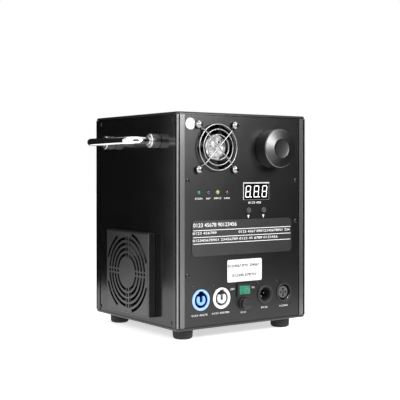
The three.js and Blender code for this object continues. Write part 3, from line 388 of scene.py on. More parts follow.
# Corner posts: aluminium extrusions with a round nose and a groove beside it on each face. The front and back
# faces are dark anodised, and the flanks are gloss black like the handle side. The grooves carry painted
# shade in the flanks' black, and the round nose a painted highlight, lighter than the faces.
post_finish_and_painted_light = Finish("anodised_post")
edge_depth = []
for i, (low_edge, high_edge) in enumerate(((case_low.x, case_high.x), (case_low.y, case_high.y))):
    along = post_finish_and_painted_light.start.node("ShaderNodeSeparateXYZ", None, {0: post_finish_and_painted_light.place}, i)
    from_middle = along.maths("ABSOLUTE", along - (low_edge + high_edge) / 2)
    edge_depth.append((high_edge - low_edge) / 2 - from_middle)
flank_depth, face_depth = edge_depth
face_edge, nose_edge = (0.2 * mm, 0.4 * mm), (1.4 * mm, 1.5 * mm)
# Masks: the flat faces, and the nose with its painted highlight; the rest, the flanks and the grooves with
# their painted shade, stays black.
on_face = 1 - face_depth.between(*face_edge)
nose_painted_highlight = (1 - face_depth.between(*nose_edge)) * (1 - flank_depth.between(*nose_edge))
bare_outside_groove_shade = on_face.maths("MAXIMUM", on_face, nose_painted_highlight)
# Painted shade: black in the grooves. Painted highlight: a lighter grey on the nose than on the faces.
post_finish_and_painted_light.feed("Base Color", nose_painted_highlight.blend(bare_outside_groove_shade.blend(grey(0.003), grey(0.12)), grey(0.21)))
post_finish_and_painted_light.feed("Metallic", bare_outside_groove_shade * 0.6)
post_finish_and_painted_light.feed("Roughness", bare_outside_groove_shade * 0.1 + post_finish_and_painted_light.noise(40, 2) * 0.06 + 0.13)
post_finish_and_painted_light.raise_by(0.00001, post_finish_and_painted_light.noise(1500, 2))


def post_outline():
    """The post's section, drawn in millimetres along one arm and mirrored, with its nose at the origin."""
    arm = [(1.5, 0), (1.5, 1.8), (3.5, 1.8), (3.5, 0), (9.6, 0), (9.6, 2.6), (18, 2.6), (18, 4.6), (9.6, 4.6)]
    nose, inner_corner = (0, 0, 1.2), (9.6, 9.6)
    corners = [nose, *arm, inner_corner, *[(y, x) for x, y in reversed(arm)]]
    return rounded([tuple(size * mm for size in corner) for corner in corners], steps=12)


post_sides = {"front_left": (-1, -1), "front_right": (1, -1), "back_right": (1, 1), "back_left": (-1, 1)}
for turn, (corner, (side_x, side_y)) in enumerate(post_sides.items()):
    low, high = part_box(f"corner_post_{corner}")
    section = plate(f"post_{corner}", [post_outline()], high.z - low.z, 0.1 * mm)
    nose = (case_low.x if side_x < 0 else case_high.x, case_low.y if side_y < 0 else case_high.y, low.z)
    place = Matrix.Translation(nose) @ Matrix.Rotation(turn * math.pi / 2, 4, "Z")
    fit(f"post_{corner}", section, post_finish_and_painted_light.material, place, nodes=[f"corner_post_{corner}"])


# Feet: moulded rubber, slightly tapered, each screwed to the base from below by a zinc-plated screw that
# is sunk in a well in its middle.
rubber = painted("foot_rubber", 0.014, 0.75, 0.00012)


def turned(outline, name, steps=64, crease=35):
    """A mesh turned about z from (radius, height) points, closed on the axis or on itself."""
    form = bmesh.new()
    rings = []
    for radius, height in outline:
        spin = circle(radius, steps=steps) if radius > 1e-9 else [Vector((0, 0))]
        rings.append([form.verts.new((x, y, height)) for x, y in spin])
    pairs = list(zip(rings, rings[1:]))
    if len(rings[0]) > 1:
        pairs.append((rings[-1], rings[0]))
    for one, two in pairs:
        for k in range(max(len(one), len(two))):
            corners = [one[(k - 1) % len(one)], one[k % len(one)], two[k % len(two)], two[(k - 1) % len(two)]]
            unique = list(dict.fromkeys(corners))
            if len(unique) > 2:
                form.faces.new(unique)
    return mesh_of(form, name, crease)


def profile(*points, steps=4):
    """Turning points in millimetres, (radius, height) or (radius, height, rounding)."""
    return rounded([tuple(size * mm for size in point) for point in points], steps=steps)


def metal(name, tones, tone_scale, gloss_scale, spread, smoothest):
    """Bare metal between two grey tones, with its roughness spread upwards from the smoothest."""
    finish = Finish(name, Metallic=1.0)
    finish.feed("Base Color", finish.noise(tone_scale, 2).blend(grey(tones[0]), grey(tones[1])))
    finish.feed("Roughness", finish.noise(gloss_scale, 2) * spread + smoothest)
    return finish.material


zinc = metal("zinc_plate", (0.5, 0.66), 300, 120, 0.15, 0.22)
for corner in post_sides:
    centre = middle_of(f"foot_{corner}")
    at = Matrix.Translation((centre.x, centre.y, 0))
    outline = profile((0, 4), (5, 4, 0.3), (5.4, 0, 0.5), (11, 0, 3.4), (11.7, 12), (0, 12), steps=7)
    foot_mesh = turned(outline, f"foot_{corner}")
    fit(f"foot_{corner}_rubber", foot_mesh, rubber, at, nodes=[f"foot_{corner}"])
    screw = profile((0, 3.9), (4.2, 3.9), (4.2, 2.6, 0.4), (2, 2, 0.5), (1.4, 3.2), (0, 3.2))
    fit(f"foot_{corner}_screw", turned(screw, f"foot_{corner}_screw", 32), zinc, at)


# Carrying handle: a polished chrome rod bent twice, held in two turned aluminium ferrules.
# The ferrules are screwed to the side from inside and do not fold.
chrome = Finish("polished_chrome", Metallic=1.0)
chrome.feed("Base Color", chrome.noise(60, 2).blend(grey(0.8), grey(0.9)))
chrome.feed("Roughness", chrome.noise(90, 3).between(0.4, 0.8) * 0.06 + 0.05)

handle_low, handle_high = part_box("carry_handle")
ferrule_front, ferrule_back = middle_of("handle_ferrule_front"), middle_of("handle_ferrule_back")
rod_radius = (handle_high.z - handle_low.z) / 2
rod_reach = left_x - handle_low.x - rod_radius
arm = abs(ferrule_back.y - ferrule_front.y) / 2
bend, rod_start = 12 * mm, 0.3 * mm


def swept(name, points, radius, sides, crease):
    """A round wire or rod along points."""
    curve = bpy.data.curves.new(name, "CURVE")
    curve.dimensions, curve.bevel_mode, curve.bevel_depth = "3D", "ROUND", radius
    curve.bevel_resolution, curve.use_fill_caps = sides // 2 - 2, True
    return mesh_of(drawn(curve, [points], closed=False), name, crease)


def side_place(centre):
    """The place on the handle side's face in front of a point."""
    return facing((-1, 0, 0), (left_x, centre.y, centre.z))


path = rounded([(-arm, rod_start), (-arm, rod_reach, bend), (arm, rod_reach, bend), (arm, rod_start)],
               steps=14)
rod = swept("handle_rod", [(x, 0, z) for x, z in path], rod_radius, 28, 50)
grip_place = side_place((ferrule_front + ferrule_back) / 2)
fit("handle_rod", rod, chrome.material, grip_place, nodes=["carry_handle"])

turned_grey = Finish("turned_ferrule", Metallic=1.0)
lathe_rings = turned_grey.noise(2500, 0)
turned_grey.feed("Base Color", lathe_rings.between(0.3, 0.7).blend(grey(0.44), grey(0.54)))
turned_grey.feed("Roughness", turned_grey.noise(200, 2) * 0.1 + 0.24)
bore, girth, reach = 4.55, 7.9, 12.1
for end, centre in (("front", ferrule_front), ("back", ferrule_back)):
    outline = profile((bore, 0.3), (girth, 0.3, 0.3), (girth, reach, 1.1), (bore, reach, 0.6))
    ferrule = turned(outline, f"ferrule_{end}")
    fit(f"ferrule_{end}", ferrule, turned_grey.material, side_place(centre),
        nodes=[f"handle_ferrule_{end}"])


# Vent hood: a folded steel tray over the side fan, in a duller coat, with laser-cut rings of slots.
# Straight bridges and short dashes cross the rings, and a fifth ring shows only in the four corners.
hood_coat = painted("hood_coat", 0.004, 0.36, 0.00003, Specular_IOR_Level=0.9)
hood_low, hood_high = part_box("vent_hood")
hood_side = hood_high.y - hood_low.y
hood_depth = left_x - hood_low.x
hood_place = side_place(middle_of("vent_hood"))
slot_width, first_ring, ring_pitch, column = 3.4 * mm, 20.3 * mm, 6.3 * mm, 4 * mm
half_bridge, right_gap, left_gap = 3.4 * mm, 5.2 * mm, 6.2 * mm
dash_offset, dash, level_dash = 3 * mm, (3.2 * mm, 4.4 * mm), 3.3 * mm
corner_bridge, corner_right, corner_left_end = 14 * mm, 10.8 * mm, -21 * mm


def arc_slot(radius, start, stop, steps=20):
    """A ring slot from one angle to another, with square ends."""
    turns = [start + (stop - start) * k / steps for k in range(steps + 1)]
    outer = [Vector((math.cos(a), math.sin(a))) * (radius + slot_width / 2) for a in turns]
    inner = [Vector((math.cos(a), math.sin(a))) * (radius - slot_width / 2) for a in reversed(turns)]
    return outer + inner


def mirrored_slots(radius, half_gap, right_end, left_end):
    """A ring's two slots above the middle, with their ends as distances from it, and the two below it."""
    level = math.asin(half_gap / radius)
    right_stop, left_start = math.acos(right_end / radius), math.acos(left_end / radius)
    for start, stop in ((level, right_stop), (left_start, math.pi - level)):
        slots.append(arc_slot(radius, start, stop))
        slots.append(arc_slot(radius, -stop, -start))


def evaluated(item):
    """The mesh of an object as its modifiers leave it."""
    graph = bpy.context.evaluated_depsgraph_get()
    return bpy.data.meshes.new_from_object(item.evaluated_get(graph))


def carved(name, solids, cuts, crease=30):
    """The union of solids less the cuts, all given as meshes."""
    block = in_scene(name, plain_mesh(form_of(*solids), name))
    tool = in_scene("cuts", plain_mesh(form_of(*cuts), "cuts"))
    bite = block.modifiers.new("cut", "BOOLEAN")
    bite.object, bite.solver, bite.use_self = tool, "EXACT", True
    form = form_of(evaluated(block))
    for item in (block, tool):
        bpy.data.objects.remove(item)
    return mesh_of(form, name, crease)


def box_mesh(wide, tall, low, high, x=0.0, y=0.0, edge=0.0):
    """A plain block between two heights, in millimetres, with its long edges rounded if asked."""
    outline = rectangle(wide * mm, tall * mm, x * mm, y * mm, edge * mm)
    return plate("block", [outline], (high - low) * mm, 0.02 * mm, low * mm)


slots = []
for ring in range(4):
    radius = first_ring + ring * ring_pitch
    mirrored_slots(radius, half_bridge, column + right_gap, column - left_gap)
    for side in (-1, 1):
        slots.append(rectangle(slot_width, level_dash, side * radius, 0))
        for across in (column - dash_offset, column + dash_offset):
            slots.append(rectangle(*dash, across, side * math.sqrt(radius ** 2 - across ** 2)))
mirrored_slots(first_ring + 4 * ring_pitch, corner_bridge, corner_right, corner_left_end)

wall, sheet_thickness, rounding, lift = 1.5 * mm, 0.8 * mm, 1.2 * mm, 0.3 * mm
face_side = hood_side - 2 * sheet_thickness
blank = plate("hood_blank", [rectangle(face_side, face_side)], sheet_thickness, 0.05 * mm,
              hood_depth - sheet_thickness)
face = carved("hood_face", [blank], [plate("slot", [slot], 4 * mm, 0, hood_depth - 3 * mm) for slot in slots])
fit("hood_face", face, hood_coat, hood_place, nodes=["vent_hood"])

form = bmesh.new()
rims = [(0, lift)] + [(inset, hood_depth - drop) for inset, drop in rolled_edge(rounding, 5)]
rims += [(wall, hood_depth), (wall, lift)]
loops = []
for inset, height in rims:
    side = hood_side - 2 * inset
    outline = rectangle(side, side, radius=max(1.5 * mm - inset, 0.2 * mm))
    loops.append([form.verts.new((x, y, height)) for x, y in outline])
for one, two in zip(loops, loops[1:] + loops[:1]):
    band(form, one, two)
fit("hood_walls", mesh_of(form, "hood_walls"), hood_coat, hood_place)


# Fans: moulded black plastic. Seven cambered blades stand round a drum-shaped hub, and three struts
# behind them carry it in a square frame. The small one has a silver label on its hub.
fan_plastic = painted("fan_plastic", 0.012, 0.35, 0.00003)


class Pattern:
    """A Geometry Nodes tree with named inputs: a geometry, sizes or objects, and a finish."""

    def __init__(self, name, geometry, **kinds):
        self.tree = bpy.data.node_groups.new(name, "GeometryNodeTree")
        self.start = Shade(self.tree)
        self.identifiers = {}
        for label, kind in {geometry: "Geometry", **kinds, "Finish": "Material"}.items():
            socket = self.tree.interface.new_socket(label, in_out="INPUT", socket_type=f"NodeSocket{kind}")
            self.identifiers[label] = socket.identifier
        self.tree.interface.new_socket("Result", in_out="OUTPUT", socket_type="NodeSocketGeometry")
        inlet = self.tree.nodes.new("NodeGroupInput")
        self.inputs = {label: Shade(self.tree, inlet, label) for label in self.identifiers}

    def made(self, result, mesh, finish, **values):
        """Ends the tree in its result, and gives the plain mesh that it makes of a mesh."""
        real = self.start.node("GeometryNodeRealizeInstances", None, {0: result})
        sockets = {"Geometry": real, "Material": self.inputs["Finish"]}
        painted_result = self.start.node("GeometryNodeSetMaterial", None, sockets)
        outlet = self.tree.nodes.new("NodeGroupOutput")
        self.tree.links.new(painted_result.socket, outlet.inputs[0])
        carrier = in_scene("carrier", mesh)
        modifier = carrier.modifiers.new("tree", "NODES")
        modifier.node_group = self.tree
        for label, value in {**values, "Finish": finish}.items():
            modifier[self.identifiers[label]] = value
        plain = evaluated(carrier)
        carrier.modifiers.remove(modifier)
        bpy.data.objects.remove(carrier)
        return plain


def repeated_round(mesh, count, finish):
    """Copies of a mesh round z, made by Geometry Nodes."""
    pattern = Pattern("round_copies", "Piece", Count="Int")
    number = pattern.inputs["Count"]
    line = pattern.start.node("GeometryNodeMeshLine", None, {"Count": number, "Offset": (0, 0, 0)})
    index = pattern.start.node("GeometryNodeInputIndex")
    turn = index.maths("DIVIDE", index, number) * (2 * math.pi)
    spin = pattern.start.node("ShaderNodeCombineXYZ", None, {"Z": turn})
    sockets = {"Points": line, "Instance": pattern.inputs["Piece"], "Rotation": spin}
    copies = pattern.start.node("GeometryNodeInstanceOnPoints", None, sockets)
    return pattern.made(copies, mesh, finish, Count=count)


def blade(root, tip, low, high):
    """One cambered blade from the hub to its tip, leaning round the axis as it rises, in millimetres."""
    steps, sweep, twist, camber, thickness = 8, 1.05, 0.18, 0.12, 1.0
    rows = []
    for i in range(steps + 1):
        outward = i / steps
        radius = root + (tip - root) * outward
        lean = sweep * root / radius * (0.75 + 0.25 * outward)
        row = []
        for j in range(steps + 1):
            along = j / steps
            angle = lean * (along - 0.5) + twist * outward
            height = low + (high - low) * (along + camber * math.sin(math.pi * along)) / (1 + camber / 2)
            row.append(Vector((radius * math.cos(angle), radius * math.sin(angle), min(height, high))) * mm)
        rows.append(row)
    form = bmesh.new()
    for offset in (-thickness / 2, thickness / 2):
        skin = [[form.verts.new(point + Vector((0, 0, offset * mm))) for point in row] for row in rows]
        for i in range(steps):
            for j in range(steps):
                form.faces.new((skin[i][j], skin[i + 1][j], skin[i + 1][j + 1], skin[i][j + 1]))
    rim = [edge for edge in form.edges if len(edge.link_faces) == 1]
    bmesh.ops.bridge_loops(form, edges=rim)
    return mesh_of(form, "blade", 50)


def fan(label, place, body, bore, hub, pitch, thickness):
    """A square fan behind a sheet, in millimetres: its frame, struts and deck, and its hub and blades."""
    low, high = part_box(f"{label}_frame")
    span = high.z - low.z
    foot, deck_height = behind_sheet - thickness, 3
    corners = [(a * pitch / 2 * mm, b * pitch / 2 * mm) for a, b in ((-1, -1), (1, -1), (1, 1), (-1, 1))]
    holes = [circle(2 * mm, x, y, 24) for x, y in corners]
    square = rectangle(span, span, radius=4 * mm)
    housing = plate(f"{label}_frame", [square, circle(bore * mm, steps=96), *holes], thickness * mm, 0.4 * mm,
                    foot * mm)
    fit(f"{label}_frame", housing, fan_plastic, place, nodes=[f"{label}_frame"])
    strut = bmesh.new()
    bmesh.ops.create_cube(strut, size=1)
    bmesh.ops.scale(strut, verts=strut.verts, vec=(bore * mm, 4 * mm, deck_height * mm))
    bmesh.ops.translate(strut, verts=strut.verts, vec=(bore / 2 * mm, 0, (foot + deck_height / 2) * mm))
    struts = repeated_round(mesh_of(strut, "strut"), 3, fan_plastic)
    fit(f"{label}_struts", struts, fan_plastic, place)
    top_of_deck = foot + deck_height
    deck = profile((0, foot), (hub, foot, 0.5), (hub, top_of_deck, 0.3), (0, top_of_deck))
    fit(f"{label}_deck", turned(deck, f"{label}_deck"), fan_plastic, place)
    top, bottom = behind_sheet + 0.5, top_of_deck + 0.3
    drum = profile((0, bottom), (hub, bottom, 0.4), (hub, top, 1.2), (0, top))
    fit(f"{label}_hub", turned(drum, f"{label}_hub"), fan_plastic, place, body,
        [f"{label}_rotor"])
    blades = repeated_round(blade(hub - 0.3, bore - 1.3, bottom + 0.8, top - 0.8), 7, fan_plastic)
    fit(f"{label}_blades", blades, fan_plastic, place, body)
    return top


fan_place = panel_place("panel_fan_frame")
hub_top = fan("panel_fan", fan_place, "panel_rotor", bore=28.3, hub=15, pitch=50, thickness=15)
fan("side_fan", hood_place, "side_rotor", bore=43.5, hub=18, pitch=82.5, thickness=25)

foil = Finish("hub_label_foil", Metallic=0.55)
foil.feed("Base Color", foil.noise(160, 3).between(0.4, 0.6).blend(grey(0.14), grey(0.42)))
foil.feed("Roughness", foil.noise(400, 2) * 0.2 + 0.3)
foil.raise_by(0.0006, foil.noise(160, 2))
hub_face = fan_place @ Matrix.Translation((0, 0, hub_top * mm))
hub_label = turned(profile((0, 0), (13.9, 0), (13.9, 0.15, 0.05), (0, 0.15)), "hub_label")
fit("hub_label", hub_label, foil.material, hub_face, "panel_rotor")
spot = plate("label_spot", [circle(1.5 * mm, 4.5 * mm, 6 * mm, 32)], 0.1 * mm, 0.02 * mm, 0.1 * mm)
fit("label_spot", spot, fan_plastic, hub_face, "panel_rotor")


# Fan guard: three rings of bright wire, spot-welded to two crossed wires that step down to a loop at
# each corner of the fan. Four pan-head screws hold the loops, each with a cross recess.
guard_steel = metal("guard_wire", (0.22, 0.36), 160, 240, 0.12, 0.26)
wire, guard_height, loop_height, loop_radius = 0.7 * mm, 5.4 * mm, 1.05 * mm, 2.9 * mm
screw_circle = 25 * mm * math.sqrt(2)
ring_diameters = (53.2, 42, 30)


def guard_mesh():
    """Rings from Curve Circles and wires along drawn paths, swept by Geometry Nodes."""
    pattern = Pattern("guard", "Wires", Radius="Float")
    start, join = pattern.start, pattern.tree.nodes.new("GeometryNodeJoinGeometry")
    for diameter in ring_diameters:
        sizes = {"Resolution": 96, "Radius": diameter / 2 * mm - wire}
        ring = start.node("GeometryNodeCurvePrimitiveCircle", None, sizes)
        sockets = {0: ring, "Translation": (0, 0, guard_height - 1.2 * wire)}
        pattern.tree.links.new(start.node("GeometryNodeTransform", None, sockets).socket, join.inputs[0])
    wires = start.node("GeometryNodeMeshToCurve", None, {0: pattern.inputs["Wires"]})
    pattern.tree.links.new(wires.socket, join.inputs[0])
    sizes = {"Resolution": 14, "Radius": pattern.inputs["Radius"]}
    section = start.node("GeometryNodeCurvePrimitiveCircle", None, sizes)
    sockets = {"Curve": Shade(pattern.tree, join), "Profile Curve": section, "Fill Caps": True}
    sweep = start.node("GeometryNodeCurveToMesh", None, sockets)

    lines = bmesh.new()
    end, step, bend = screw_circle - loop_radius, screw_circle - 4.4 * mm - 2 * wire, 3 * mm
    bent = rounded([(end, loop_height), (step, loop_height, bend), (step - 2.85 * mm, guard_height, bend),
                    (0, guard_height)], steps=5)
    for quarter in range(4):
        spin = Matrix.Rotation(math.pi / 4 + quarter * math.pi / 2, 3, "Z")
        run = [lines.verts.new(spin @ Vector((x, 0, z))) for x, z in bent]
        for one, two in zip(run, run[1:]):
            lines.edges.new((one, two))
        eye = spin @ Vector((screw_circle, 0, loop_height))
        ring = [lines.verts.new((eye.x + x, eye.y + y, eye.z)) for x, y in circle(loop_radius, steps=28)]
        for k in range(len(ring)):
            lines.edges.new((ring[k - 1], ring[k]))
    made = pattern.made(sweep, plain_mesh(lines, "guard_lines"), guard_steel, Radius=wire)
    return mesh_of(form_of(made), "guard", 60)


fit("guard_wires", guard_mesh(), guard_steel, fan_place, nodes=["fan_guard"])


def screw_mesh(name, radius, height, recess, sunk=0.5):
    """A round screw head from z = 0, with a cross recess sunk to a share of its height."""
    crown, narrow = 0.55, 0.26
    head = turned(rounded([(0, 0), (radius, 0), (radius, height * 0.45, height * 0.3),
                           (radius * crown, height, height * 0.6), (0, height)], steps=4), name, 40)
    cross = bmesh.new()
    for wide, deep in ((recess, recess * narrow), (recess * narrow, recess)):
        bar = bmesh.ops.create_cube(cross, size=1)["verts"]
        bmesh.ops.scale(cross, verts=bar, vec=(wide, deep, height))
        bmesh.ops.translate(cross, verts=bar, vec=(0, 0, height * (1.5 - sunk)))
    return carved(name, [head], [plain_mesh(cross, "recess")])


bright_steel = metal("bright_screw", (0.2, 0.34), 500, 300, 0.12, 0.12)
for i in (1, 2, 3, 4):
    head = screw_mesh(f"guard_screw_head_{i}", 4.4 * mm, 4.3 * mm, 3.4 * mm, 0.22)
    place = panel_place(f"guard_screw_{i}", 2.1)
    fit(f"guard_screw_head_{i}", head, bright_steel, place, nodes=[f"guard_screw_{i}"])


# Filler: a glass-filled plastic neck with a screw cap over it. The cap has a plain wall, a broad conical
# shoulder and a dished middle, and a rubber ring inside it seals the neck.
cap_sheen = painted("cap_sheen", 0.004, 0.3, 0.00001, Specular_IOR_Level=1.0, Coat_Weight=0.3,
                    Coat_Roughness=0.3)
filler_place = panel_place("filler_cap")
cap_outline = profile((0, 17.7), (17.9, 17.7, 0.4), (17.9, 0.6), (22.5, 0.6, 0.5), (22.5, 19, 1.6),
                      (11.1, 21.4, 0.4), (10.4, 21.22), (9, 21), (7, 20.8), (4, 20.65), (0, 20.6), steps=7)
cap_mesh = turned(cap_outline, "cap_shell", 96)
fit("cap_shell", cap_mesh, cap_sheen, filler_place, "cap", ["filler_cap"])
neck_bore, neck_radius, neck_flange = 14.6, 17.4, 21
seal_outline = profile((neck_bore, 15.9), (neck_radius, 15.9, 0.4), (neck_radius, 17.4, 0.4),
                       (neck_bore, 17.4))
fit("seal_ring", turned(seal_outline, "seal_ring"), rubber, filler_place, "seal", ["cap_seal"])
neck_back = (front_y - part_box("filler_neck")[1].y) / mm
flange_back = -3.8
neck_outline = profile(
    (neck_bore, neck_back), (neck_radius, neck_back), (neck_radius, flange_back),
    (neck_flange, flange_back, 0.4), (neck_flange, behind_sheet), (neck_radius, behind_sheet),
    (neck_radius, 15.6, 0.5), (neck_bore, 15.6, 0.5))
neck_mesh = turned(neck_outline, "neck_tube", 72)
fit("neck_tube", neck_mesh, fan_plastic, filler_place, nodes=["filler_neck"])


# Indicator lamps: four 5 mm domes of tinted resin, pushed through the panel from the board behind it.
# Each has a collar behind the sheet.
lamp_tints = {"green": (0.01, 0.085, 0.07, 1), "blue": (0.01, 0.015, 0.07, 1),
              "yellow": (0.22, 0.25, 0.09, 1), "red": (0.05, 0.01, 0.016, 1)}
dome_radius, dome_middle, collar_back = 2.45, -0.65, -2.8
for colour, tint in lamp_tints.items():
    resin = Finish(f"{colour}_resin", Roughness=0.12, IOR=1.5, Coat_Weight=0.6, Coat_Roughness=0.05)
    paler = tuple(c * 1.5 + 0.01 for c in tint[:3]) + (1,)
    resin.feed("Base Color", resin.noise(700, 2).between(0.45, 0.7).blend(tint, paler))
    foot = (front_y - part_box(f"lamp_{colour}")[1].y) / mm
    stem = profile((0, foot), (dome_radius, foot), (dome_radius, collar_back), (3.1, collar_back, 0.1),
                   (3.1, behind_sheet), (dome_radius, behind_sheet))
    dome = [Vector((dome_radius * mm * math.cos(a), (dome_middle + dome_radius * math.sin(a)) * mm))
            for a in (math.pi / 2 * k / 8 for k in range(8))]
    tip = Vector((0, (dome_middle + dome_radius) * mm))
    lamp_mesh = turned([*stem, *dome, tip], f"dome_{colour}", 40)
    fit(f"dome_{colour}", lamp_mesh, resin.material, panel_place(f"lamp_{colour}"),
        nodes=[f"lamp_{colour}"])


# Display: a three-digit module in a black body with a smoked window over light segments. Its rim carries a
# painted highlight, pale on the left and at the top, and painted shade, dim on the right and at the bottom.
window = painted("display_window", 0.004, 0.12, 0.000005, Coat_Weight=0.5)
# Painted highlight and painted shade for the two strips of the display's rim.
rim_painted_highlight = painted("display_rim", 0.45, 0.35, 0.00002)
rim_painted_shade = painted("display_dim_rim", 0.1, 0.35, 0.00002)
segment_white = Finish("segment_white", Roughness=0.4, Emission_Strength=0.25)
segment_white.feed("Base Color", segment_white.noise(900, 1).blend(grey(0.78), grey(0.88)))
segment_white.feed("Emission Color", segment_white.noise(900, 1).blend(grey(0.8), grey(0.9)))
display_place = panel_place("display")
window_out = 0.3 * mm
body_depth = display_size.y - 0.5 * mm
body_outline = rectangle(display_size.x, display_size.z, radius=window_out)
display_body = plate("display_body", [body_outline], body_depth, 0.15 * mm, window_out - body_depth)
fit("display_body", display_body, window, display_place, nodes=["display"])
right, top = display_size.x / 2, display_size.z / 2
inner_left, inner_top, thin = 0.9 * mm - right, top - 1.5 * mm, 0.6 * mm
shade_rim_left, shade_rim_top = 0.95 * mm - right, top - 1.55 * mm
highlight_rim_outline = [(-right, -top), (inner_left, -top), (inner_left, inner_top), (right, inner_top), (right, top),
               (-right, top)]
shade_rim_outline = [(shade_rim_left, -top), (right, -top), (right, shade_rim_top), (right - thin, shade_rim_top),
            (right - thin, thin - top), (shade_rim_left, thin - top)]
# The pale strip on the left and at the top is a painted highlight, and the dim strip on the right and at the
# bottom is painted shade.
for label, edge, finish in (("bright", highlight_rim_outline, rim_painted_highlight), ("dim", shade_rim_outline, rim_painted_shade)):
    strip = plate("edge", [edge], 0.5 * mm, 0.1 * mm, window_out)
    fit(f"display_{label}_edge", strip, finish, display_place)


def digit(x, y, tall, point):
    """The seven bars of one digit, cut with pointed ends and leaning a little, and the point after it."""
    bar, wide = 0.98 * mm, tall * 0.5
    gap, lean = 0.12 * mm, 0.1

    def run(x0, y0, x1, y1):
        one, two = Vector((x0, y0)), Vector((x1, y1))
        way = (two - one).normalized()
        side = Vector((-way.y, way.x)) * bar / 2
        one, two = one + way * gap, two - way * gap
        tip = way * bar / 2
        return [one, one + tip + side, two - tip + side, two, two - tip - side, one + tip - side]

    left, right, top, foot = -wide / 2, wide / 2, tall / 2, -tall / 2
    bars = [run(left, height, right, height) for height in (top, 0, foot)]
    bars += [run(s, 0, s, top) for s in (left, right)] + [run(s, foot, s, 0) for s in (left, right)]
    if point:
        bars.append(circle(0.75 * mm, right + 1.8 * mm, foot, 20))
    return [[Vector((x + p.x + p.y * lean, y + p.y)) for p in outline] for outline in bars]


digit_pitch, digit_height, digit_shift, digit_drop = 12.1 * mm, 12.75 * mm, 0.3 * mm, -0.55 * mm
bars = [outline for place in (-1, 0, 1)
        for outline in digit(place * digit_pitch + digit_shift, digit_drop, digit_height, place < 1)]
form = form_of(*[plate("bar", [outline], 0.12 * mm, 0.02 * mm, 0.28 * mm) for outline in bars])
fit("display_digits", mesh_of(form, "display_digits"), segment_white.material, display_place)


# Push buttons: small dark plungers with a soft edge, one under each end of the display. A white triangle
# is printed under each of them, and plain figures under the lamps and the display.
key_plastic = painted("key_plastic", 0.04, 0.4, 0.00003)
for side in ("left", "right"):
    foot = (front_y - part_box(f"button_{side}")[1].y) / mm
    outline = profile((0, foot), (1.8, foot), (1.8, collar_back), (4.3, collar_back, 0.2),
                      (4.3, behind_sheet), (3.25, behind_sheet), (3.25, 1.6, 0.5), (2.3, 1.5, 0.4), (0, 1.35))
    key_mesh = turned(outline, f"key_{side}", 48)
    fit(f"key_{side}", key_mesh, key_plastic, panel_place(f"button_{side}"),
        f"{side}_button", [f"button_{side}"])

print_white = Finish("print_white", Roughness=0.55)
print_white.feed("Base Color", print_white.noise(1800, 2).blend(grey(0.5), grey(0.66)))
print_height, print_gap = 0.05 * mm, 0.01 * mm


def printed(name, outlines, place):
    """Silk-screened marks: one thin raised film for each outline."""
    marks = [plate("mark", [outline], print_height, 0.005 * mm, print_gap) for outline in outlines]
    fit(name, mesh_of(form_of(*marks), name), print_white.material, place)


def lettered(name, words, wide, tall, place, ink=print_white.material, weight=0.008):
    """Printed figures or words that fill a width and a height in millimetres, centred on their place."""
    text = bpy.data.curves.new(name, "FONT")
    text.body, text.align_x, text.align_y = words, "CENTER", "CENTER"
    text.offset = weight
    written = in_scene(name, text)
    bpy.context.view_layer.update()
    form = form_of(evaluated(written))
    bpy.data.objects.remove(written)
    low = Vector(min(v.co[i] for v in form.verts) for i in range(3))
    high = Vector(max(v.co[i] for v in form.verts) for i in range(3))
    bmesh.ops.translate(form, verts=form.verts, vec=-(low + high) / 2)
    size = high - low
    bmesh.ops.scale(form, verts=form.verts, vec=(wide * mm / size.x, tall * mm / size.y, 1))
    film = bmesh.ops.extrude_face_region(form, geom=form.faces[:])["geom"]
    raised = [item for item in film if isinstance(item, bmesh.types.BMVert)]
    bmesh.ops.translate(form, verts=form.verts, vec=(0, 0, print_gap))
    bmesh.ops.translate(form, verts=raised, vec=(0, 0, print_height))
    fit(name, mesh_of(form, name), ink, place)


def in_line_with(node, above, shift=0.0):
    """A place on the panel straight above or below a node, in millimetres from the case's underside."""
    return facing((0, -1, 0), (middle_of(node).x + shift * mm, front_y, floor_z + above * mm))


triangle = [Vector((x * mm, y * mm)) for x, y in ((-1.6, 2), (0, -2), (1.6, 2))]
for side, shift in (("left", 0.0), ("right", -0.3)):
    printed(f"arrow_{side}", [triangle], in_line_with(f"button_{side}", 123.4, shift))
for number, (colour, figures) in enumerate(zip(lamp_tints, ("01234", "567", "89012", "3456")), 1):
    place = in_line_with(f"lamp_{colour}", 145.6)
    lettered(f"figure_lamp_{number}", figures, 2 * len(figures), 1.9, place)
lettered("figure_display", "0123 456", 19, 2.5, on_panel(108.4, 139.7))


# Rating plate: a thin grey anodised plate glued to the panel, with three light rules and four rows of plain
# figures. Below it is a paper label with two rows, and a round paper seal covers the corner by the fan.
plate_grey = painted("plate_grey", 0.018, 0.4, 0.00002)
low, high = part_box("rating_plate")
plate_wide, plate_tall, plate_face = high.x - low.x, high.z - low.z, 0.8
plate_at = panel_place("rating_plate")
plate_outline = rectangle(plate_wide, plate_tall, radius=5 * mm)
sheet = plate("plate_sheet", [plate_outline], 0.5 * mm, 0.12 * mm, 0.3 * mm)
fit("plate_sheet", sheet, plate_grey, plate_at, nodes=["rating_plate"])
rules = [rectangle(plate_wide - 3 * mm, 0.75 * mm, 0, y * mm) for y in (9.15, 1.45, -5.75)]
printed("plate_rules", rules, plate_at @ Matrix.Translation((0, 0, plate_face * mm)))
for name, words, start, stop, above, tall in (
    ("title", "0123 45678 90123456", 21.3, 81.4, 115.9, 4.4),
    ("left", "0123 456789", 20.6, 53, 107, 2.8),
    ("right", "0123 4567 89012345678901 234", 84.3, 160.8, 106.8, 2.8),
    ("lower", "012345678901 23456789 0123 45 6789 0123456", 20.6, 142, 99, 2.8),
):
    lettered(f"plate_{name}_row", words, stop - start, tall, on_panel((start + stop) / 2, above, plate_face))

